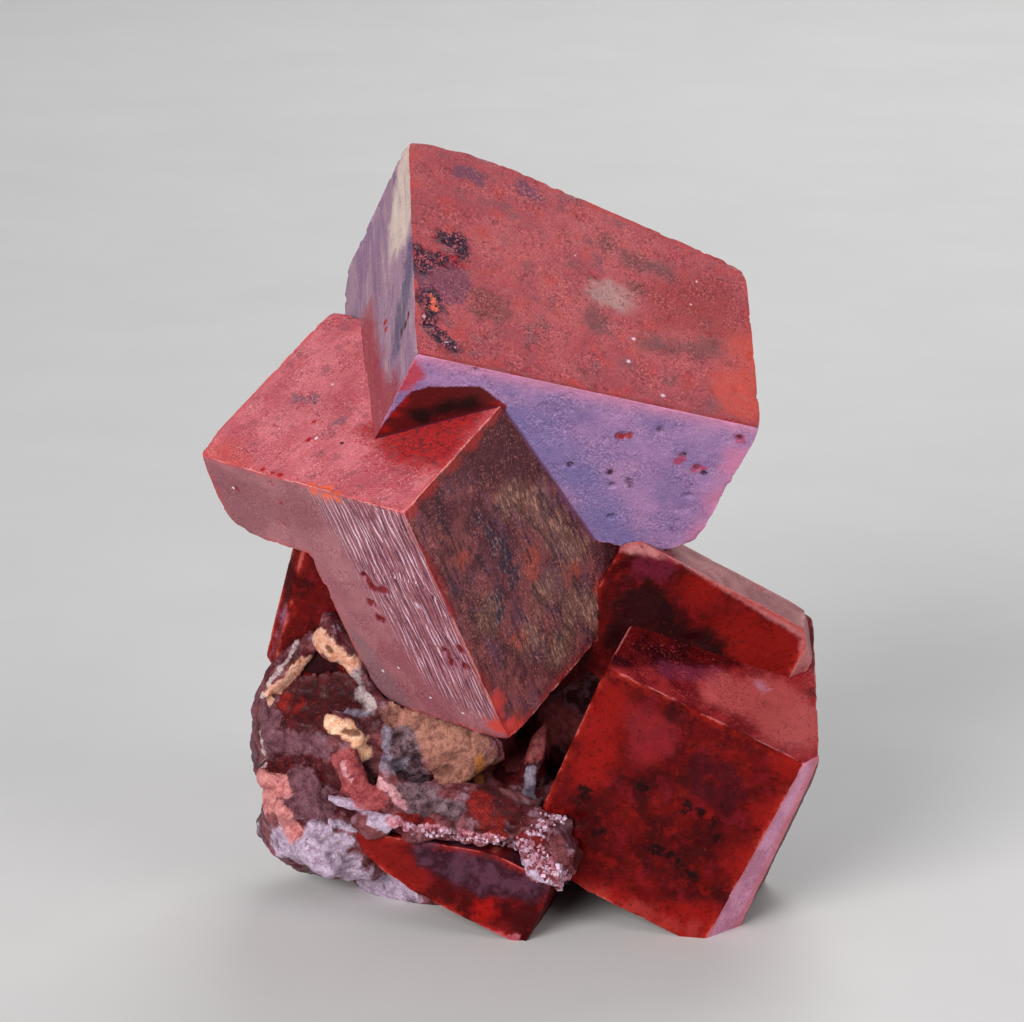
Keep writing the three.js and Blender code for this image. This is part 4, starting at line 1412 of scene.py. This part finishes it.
# %% The deep red crystals' skins
def gem(name, extra):
    """Deep red with dark clouds, a painted orange glow near the edges and a painted pale highlight on them.
    Extra adds what only one crystal has.
    """
    f = Finish(name)
    at = f.place()
    cloud, fine = f.noise(at, 3.4, 61, 5.0), f.noise(at, 0.4, 62, 5.0, 0.7)
    base = f.mix(colour(56, 0, 1), colour(88, 3, 3), f.swing(cloud, 0.4, 0.6))
    base = f.mix(base, colour(118, 12, 8), f.swing(f.noise(at, 1.6, 65, 6.0), 0.53, 0.66) * 0.6)
    base = f.mix(base, colour(104, 10, 24), f.swing(f.noise(at, 2.0, 66, 6.0), 0.54, 0.68) * 0.7)
    base = f.mix(base, colour(24, 0, 2), f.swing(f.noise(at, 1.5, 63, 6.0), 0.56, 0.72) * 0.6)
    base = extra(f, at, f.torn(at), base)
    base = f.mix(base, colour(28, 1, 5), f.swing(fine, 0.55, 0.68) * 0.7)
    base = f.mix(base, colour(150, 36, 34), f.swing(fine, 0.4, 0.28) * 0.3)
    # Painted light: an orange glow near the edges, where light comes through the thin crystal, then a pale
    # painted highlight right on the edges.
    glow = f.swing(f.stored("edge") + fine * 1.2, 1.4, 0.5) * f.swing(cloud, 0.36, 0.58)
    base = f.mix(base, colour(156, 32, 22), glow * 0.7)
    line = f.swing(f.stored("edge") + fine * 0.5, 0.46, 0.3) * f.swing(cloud, 0.46, 0.58)
    base = f.mix(base, colour(198, 96, 90), line * 0.6)
    return f.surface(base, 0.26 + fine * 0.2, fine, 0.14, coat=0.03, clear=0.12, specular=0.05)


def right_gem():
    def marks(f, at, torn, base):
        return spotted(f, base, torn, RIGHT, "-y", [
            ("warm", (140, 16, 9), 0.65, 1.6, 0.9, (612, 700), (600, 735), (590, 770), (575, 890),
             (620, 905), (665, 925), (700, 920), (790, 765), (770, 820), (745, 865)),
            ("haze", (134, 32, 40), 0.5, 1.3, 0.9, (661, 736), (645, 750), (640, 720)),
            ("ring", (50, 3, 14), 0.6, 0.9, 0.4, (700, 765), (725, 770), (735, 790), (720, 802),
             (700, 790)),
            ("holes", (14, 0, 2), 0.9, 0.42, 0.5, (642, 788), (583, 793), (599, 832), (656, 850),
             (668, 856), (680, 864), (690, 876), (717, 838), (714, 819), (700, 812), (685, 808)),
            ("foot", (164, 60, 56), 0.4, 0.7, 0.95, (580, 887), (600, 896), (630, 906), (648, 914),
             (668, 926), (690, 930)),
        ])
    return gem("right_gem", marks)


def behind_gem():
    def marks(f, at, torn, base):
        # Painted shadow: the dark spots at the left of this face stand for the shadow that the pale crystals
        # cast on it.
        base = spotted(f, base, torn, BEHIND, "-y", [
            ("dark", (24, 0, 1), 0.9, 1.5, 0.8, (630, 615), (650, 600), (665, 630), (690, 648),
             (715, 650), (620, 645), (670, 655)),
            ("warm", (118, 12, 6), 0.7, 1.5, 0.9, (735, 625), (760, 640), (785, 650), (790, 668),
             (700, 592), (750, 660)),
        ])
        inner = f.area(f.torn(at, 0.25, 0.6), seen(BEHIND, "-y", (560, 540), (680, 563), (800, 638),
                                                   (798, 700), (560, 720)), 0.5)
        clear = f.mix(colour(150, 84, 86), colour(172, 108, 108), f.swing(f.noise(at, 1.5, 77), 0.4, 0.6))
        violet = f.blot(torn, seen(BEHIND, "-y", (640, 566), (655, 572), (668, 560)), 0.8, 0.8)
        return f.mix(f.mix(clear, base, inner), colour(98, 22, 44), violet * 0.6)
    return gem("behind_gem", marks)


def lower_gem():
    def marks(f, at, torn, base):
        base = spotted(f, base, torn, LOWER, "-y", [
            ("warm", (120, 18, 14), 0.75, 1.4, 0.9, (355, 842), (375, 850), (395, 866), (412, 880)),
        ])
        # Painted reflection: the violet-grey sheen over the upper right of this face is cool light mirrored
        # in it, laid on as colour.
        sheen = f.area(f.torn(at, 0.4), seen(LOWER, "-y", (403, 830), (464, 838), (512, 848), (552, 880),
                                             (540, 903), (481, 896), (418, 866)), 0.9)
        violet = f.mix(colour(46, 18, 30), colour(78, 44, 60), f.swing(f.noise(at, 1.8, 67), 0.42, 0.6))
        base = f.mix(base, violet, sheen * 0.9)
        base = f.mix(base, colour(150, 12, 8), f.blot(torn, seen(LOWER, "-y", (485, 908)), 1.0, 0.9) * 0.8)
        return spotted(f, base, torn, LOWER, "-y", [
            ("foot", (176, 88, 104), 0.85, 0.6, 0.6, (468, 928), (484, 936), (500, 940), (516, 940)),
        ])
    return gem("lower_gem", marks)


def left_gem():
    def marks(f, at, torn, base):
        base = spotted(f, base, torn, LEFT, "-y", [
            ("strip", (140, 92, 116), 0.85, 0.8, 0.7, (276, 615), (271, 632), (267, 650)),
        ])
        # Painted shade: the part of this face below the rock's ridge is painted nearly black, as if in
        # shadow.
        below = f.area(at, seen(LEFT, "-y", (280, 650), (360, 650), (360, 700), (260, 700)), 2.0)
        return f.mix(base, colour(40, 6, 10), below)
    return gem("left_gem", marks)


# %% The clearer parts of the deep red crystals
def lilac_strip():
    f = Finish("lilac_strip")
    at = f.place()
    base = f.mix(colour(172, 104, 132), colour(204, 140, 170), f.swing(f.noise(at, 2.5, 71), 0.35, 0.65))
    base, fine = speckled(f, at, base, colour(112, 40, 66), colour(216, 176, 198), 72, 0.7)
    # Painted light: a red glow near the edges, where light comes through the thin crystal.
    base = f.mix(base, colour(182, 84, 88), f.swing(f.stored("edge") + fine * 0.5, 0.9, 0.4) * 0.6)
    return f.surface(base, 0.38 + fine * 0.2, fine, 0.14)


def salmon_rim():
    """The clearer rim of the crystal behind and of the right one's shoulder."""
    f = Finish("salmon_rim")
    at = f.place()
    cloud = f.noise(at, 2.5, 75, 3.0)
    base = f.mix(colour(138, 62, 66), colour(168, 94, 96), f.swing(cloud, 0.35, 0.65))
    base, fine = speckled(f, at, base, colour(110, 26, 32), colour(200, 136, 138), 76, 0.6)
    # Painted highlight: paler along the edges.
    base = f.mix(base, colour(190, 116, 116), f.swing(f.stored("edge") + fine * 0.5, 0.7, 0.3) * 0.6)
    return f.surface(base, 0.36 + fine * 0.2, fine, 0.14, specular=0.2)


def shoulder():
    """The right crystal's top: deep red in front, pinkish towards the crystal behind it."""
    f = Finish("shoulder")
    at = f.place()
    torn = f.torn(at)
    cloud = f.noise(at, 2.5, 78, 5.0)
    base = f.mix(colour(100, 14, 20), colour(140, 34, 38), f.swing(cloud, 0.4, 0.6))
    # Painted shade: the left end of this top is darkened so that it reads as the shaded crystal behind it.
    dark = f.area(f.torn(at, 0.5), seen(RIGHT, 0, (620, 615), (600, 668), (640, 668), (700, 674), (742, 676),
                                        (745, 640)), 0.9)
    base = f.mix(base, f.mix(colour(30, 0, 2), colour(76, 3, 4), f.swing(cloud, 0.42, 0.58)), dark * 0.95)
    base = spotted(f, base, torn, RIGHT, 0, [
        ("violet", (100, 32, 54), 0.8, 1.0, 0.8, (665, 668), (690, 672), (715, 675)),
        ("pink", (170, 72, 72), 0.85, 1.7, 0.9, (770, 690), (790, 705), (805, 725), (745, 700),
         (780, 730), (720, 690)),
        ("lilac", (170, 110, 126), 0.8, 0.6, 0.8, (762, 686)),
    ])
    base, fine = speckled(f, at, base, colour(60, 2, 8), colour(190, 80, 80), 79, 0.7)
    # Painted highlight: a pale line right on the edges.
    line = f.swing(f.stored("edge") + fine * 0.4, 0.42, 0.26) * f.swing(cloud, 0.46, 0.56)
    base = f.mix(base, colour(200, 110, 110), line * 0.7)
    return f.surface(base, 0.32 + fine * 0.2, fine, 0.14, coat=0.04, clear=0.15, specular=0.1)


finishes = {make.__name__: make() for make in (
    red_face, lilac_face, streaked_side, ribbed_side, mottled_side, pink_top, right_gem, behind_gem,
    lower_gem, left_gem, lilac_strip, salmon_rim, shoulder)}
print("crystal finishes:", len(finishes))

# %% [markdown]
# ## The rock's finish
#
# Each mineral is stored on the rock as a number from 0 to 1 at every point. Mixing them straight
# would blur their borders, so fine noise is added first and the sum is cut off sharply: the border
# then runs ragged between the grains, as where one mineral has grown over another.

# %% The rock and the little blocks
def rock_skin():
    f = Finish("rock_skin")
    at = f.place()
    fine, grit = f.noise(at, 0.6, 82, 5.0, 0.7), f.noise(at, 0.2, 83, 3.0, 0.65)
    cloud = f.noise(at, 2.2, 81, 5.0)
    base = f.mix(colour(80, 24, 30), colour(132, 72, 76), f.swing(cloud, 0.4, 0.6))
    base = f.mix(base, colour(146, 108, 122), f.swing(f.noise(at, 1.2, 84, 5.0), 0.52, 0.66) * 0.8)
    layers = [
        ("maroon", colour(34, 2, 5), colour(92, 14, 18)),
        ("mauve", colour(78, 36, 46), colour(126, 82, 92)),
        ("tan", colour(118, 70, 64), colour(184, 126, 106)),
        ("ochre", colour(170, 92, 50), colour(206, 132, 72)),
        ("gravel", colour(40, 22, 30), colour(132, 104, 112)),
        ("ember", colour(84, 6, 6), colour(142, 30, 22)),
        ("grey", colour(96, 80, 100), colour(158, 144, 160)),
        ("frost", colour(146, 118, 142), colour(204, 184, 204)),
        ("crust", colour(140, 56, 72), colour(210, 148, 160)),
        ("salmon", colour(168, 84, 84), colour(218, 146, 142)),
        ("pebble_and_cavity_light", colour(122, 38, 44), colour(178, 88, 88)),
        ("petal", colour(176, 110, 120), colour(218, 168, 172)),
        ("chalk", colour(140, 116, 120), colour(200, 180, 178)),
        ("cream", colour(196, 120, 90), colour(228, 180, 156)),
        ("amber", colour(224, 148, 108), colour(252, 212, 180)),
    ]
    for name, dark, pale in layers:
        mask = f.swing(f.stored(name) + (fine - 0.5) * 1.4, 0.24, 0.7)
        base = f.mix(base, f.mix(dark, pale, f.swing(fine * 0.6 + grit * 0.4, 0.38, 0.6)), mask * 0.95)
    base = f.mix(base, colour(96, 46, 18), f.swing(f.stored("brown"), 0.1, 0.7) * 0.85)
    # Painted shade: darker where the relief sinks, in the creases and hollows.
    base = f.mix(base, colour(40, 8, 12), f.swing(f.stored("relief"), -0.06, -0.3) * 0.6)
    base = f.mix(base, colour(52, 14, 22), f.swing(grit, 0.55, 0.68) * 0.55)
    base = f.mix(base, colour(196, 140, 146), f.swing(grit, 0.4, 0.28) * 0.3)
    return f.surface(base, 0.4 + grit * 0.3, fine * 0.6 + grit * 0.4, 0.3, coat=0.05, specular=0.14)


def druse_blocks():
    """Each little block keeps a tint of its own, from red to nearly white."""
    f = Finish("druse_blocks")
    own, fine = f.stored("own"), f.noise(f.place(), 0.3, 92)
    base = f.mix(colour(104, 24, 32), colour(164, 96, 112), f.swing(own, 0.1, 0.5))
    base = f.mix(base, colour(196, 166, 184), f.swing(own, 0.45, 0.8))
    base = f.mix(base, colour(110, 60, 80), f.swing(fine, 0.5, 0.7) * 0.5)
    return f.surface(base, 0.25 + fine * 0.2, fine, 0.03, coat=0.2, clear=0.1, specular=0.5)


finishes["druse_blocks"] = druse_blocks()
finishes["rock_skin"] = rock_skin()
print("all finishes:", len(finishes))

# %% [markdown]
# ## Putting the pieces in the frame
#
# Each dressed piece stands for the plain solid of the same crystal. It is brought from millimetres
# to metres, shaded smoothly except where two crystals meet, and tied to the frame.

# %% Dress the frame
CREASE = math.radians(38)


def hand_over(piece, node, slot, names, index=0, smoothly=True):
    mesh = piece.data
    points = np.clip(points_of(mesh), low_corner, high_corner)
    mesh.vertices.foreach_set("co", (points * MM).astype(np.float32).ravel())
    mesh.materials.clear()
    for name in names:
        mesh.materials.append(finishes[name])
    mesh.polygons.foreach_set("material_index", np.zeros(len(mesh.polygons), np.int32) + index)
    if smoothly:
        mesh.shade_smooth()
        mesh.set_sharp_from_angle(angle=CREASE)
    mesh.update()
    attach(piece, "root")
    if node:
        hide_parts(node)
    print(piece.name, "has", len(mesh.polygons), "faces in the colours of", slot)


hand_over(upper, "upper_crystals", "pale_crystal", *upper_faces)
hand_over(right, "right_crystals", "deep_red_crystal", *right_faces)
hand_over(lower, "lower_crystal", "deep_red_crystal", *lower_faces)
hand_over(left, "left_crystal", "deep_red_crystal", *left_faces)
hand_over(rock, "matrix", "rock", ["rock_skin"])
hand_over(druse, None, "rock", ["druse_blocks"], smoothly=False)

# %% [markdown]
# ## A pale floor and soft light
#
# A large soft lamp in front and to the left shows the relief, a weaker one on the right opens the
# shadows, and one behind draws the edges. The pale floor throws light up at the lilac underside.

# %% Floor and lamps
bpy.ops.mesh.primitive_plane_add(size=4)
floor = bpy.context.object
floor.name = "floor"
floor_finish = Finish("floor")
speck = floor_finish.noise(floor_finish.node("ShaderNodeNewGeometry", out="Position"), 0.02, 91)
floor.data.materials.append(floor_finish.surface(
    floor_finish.mix(colour(214, 212, 210), colour(224, 222, 220), speck), 0.6, speck, 0.05,
    coat=0.0, specular=0.5))


def lamp(name, place, size, power):
    light = bpy.data.lights.new(name, "AREA")
    light.size = size
    light.energy = power
    made = bpy.data.objects.new(name, light)
    made.location = place
    aim = Vector((0.0, 0.0, 0.035)) - made.location
    made.rotation_euler = aim.to_track_quat("-Z", "Y").to_euler()
    bpy.context.scene.collection.objects.link(made)


lamp("key", (-0.35, -0.62, 0.3), 0.4, 6.5)
lamp("fill", (0.5, -0.4, 0.2), 0.4, 1.6)
lamp("back", (0.15, 0.5, 0.4), 0.4, 1.6)
world = bpy.data.worlds.new("room")
world.use_nodes = True
world.node_tree.nodes["Background"].inputs["Color"].default_value = (0.9, 0.93, 1.0, 1.0)
world.node_tree.nodes["Background"].inputs["Strength"].default_value = 0.22
bpy.context.scene.world = world
bpy.context.scene.view_settings.view_transform = "Standard"
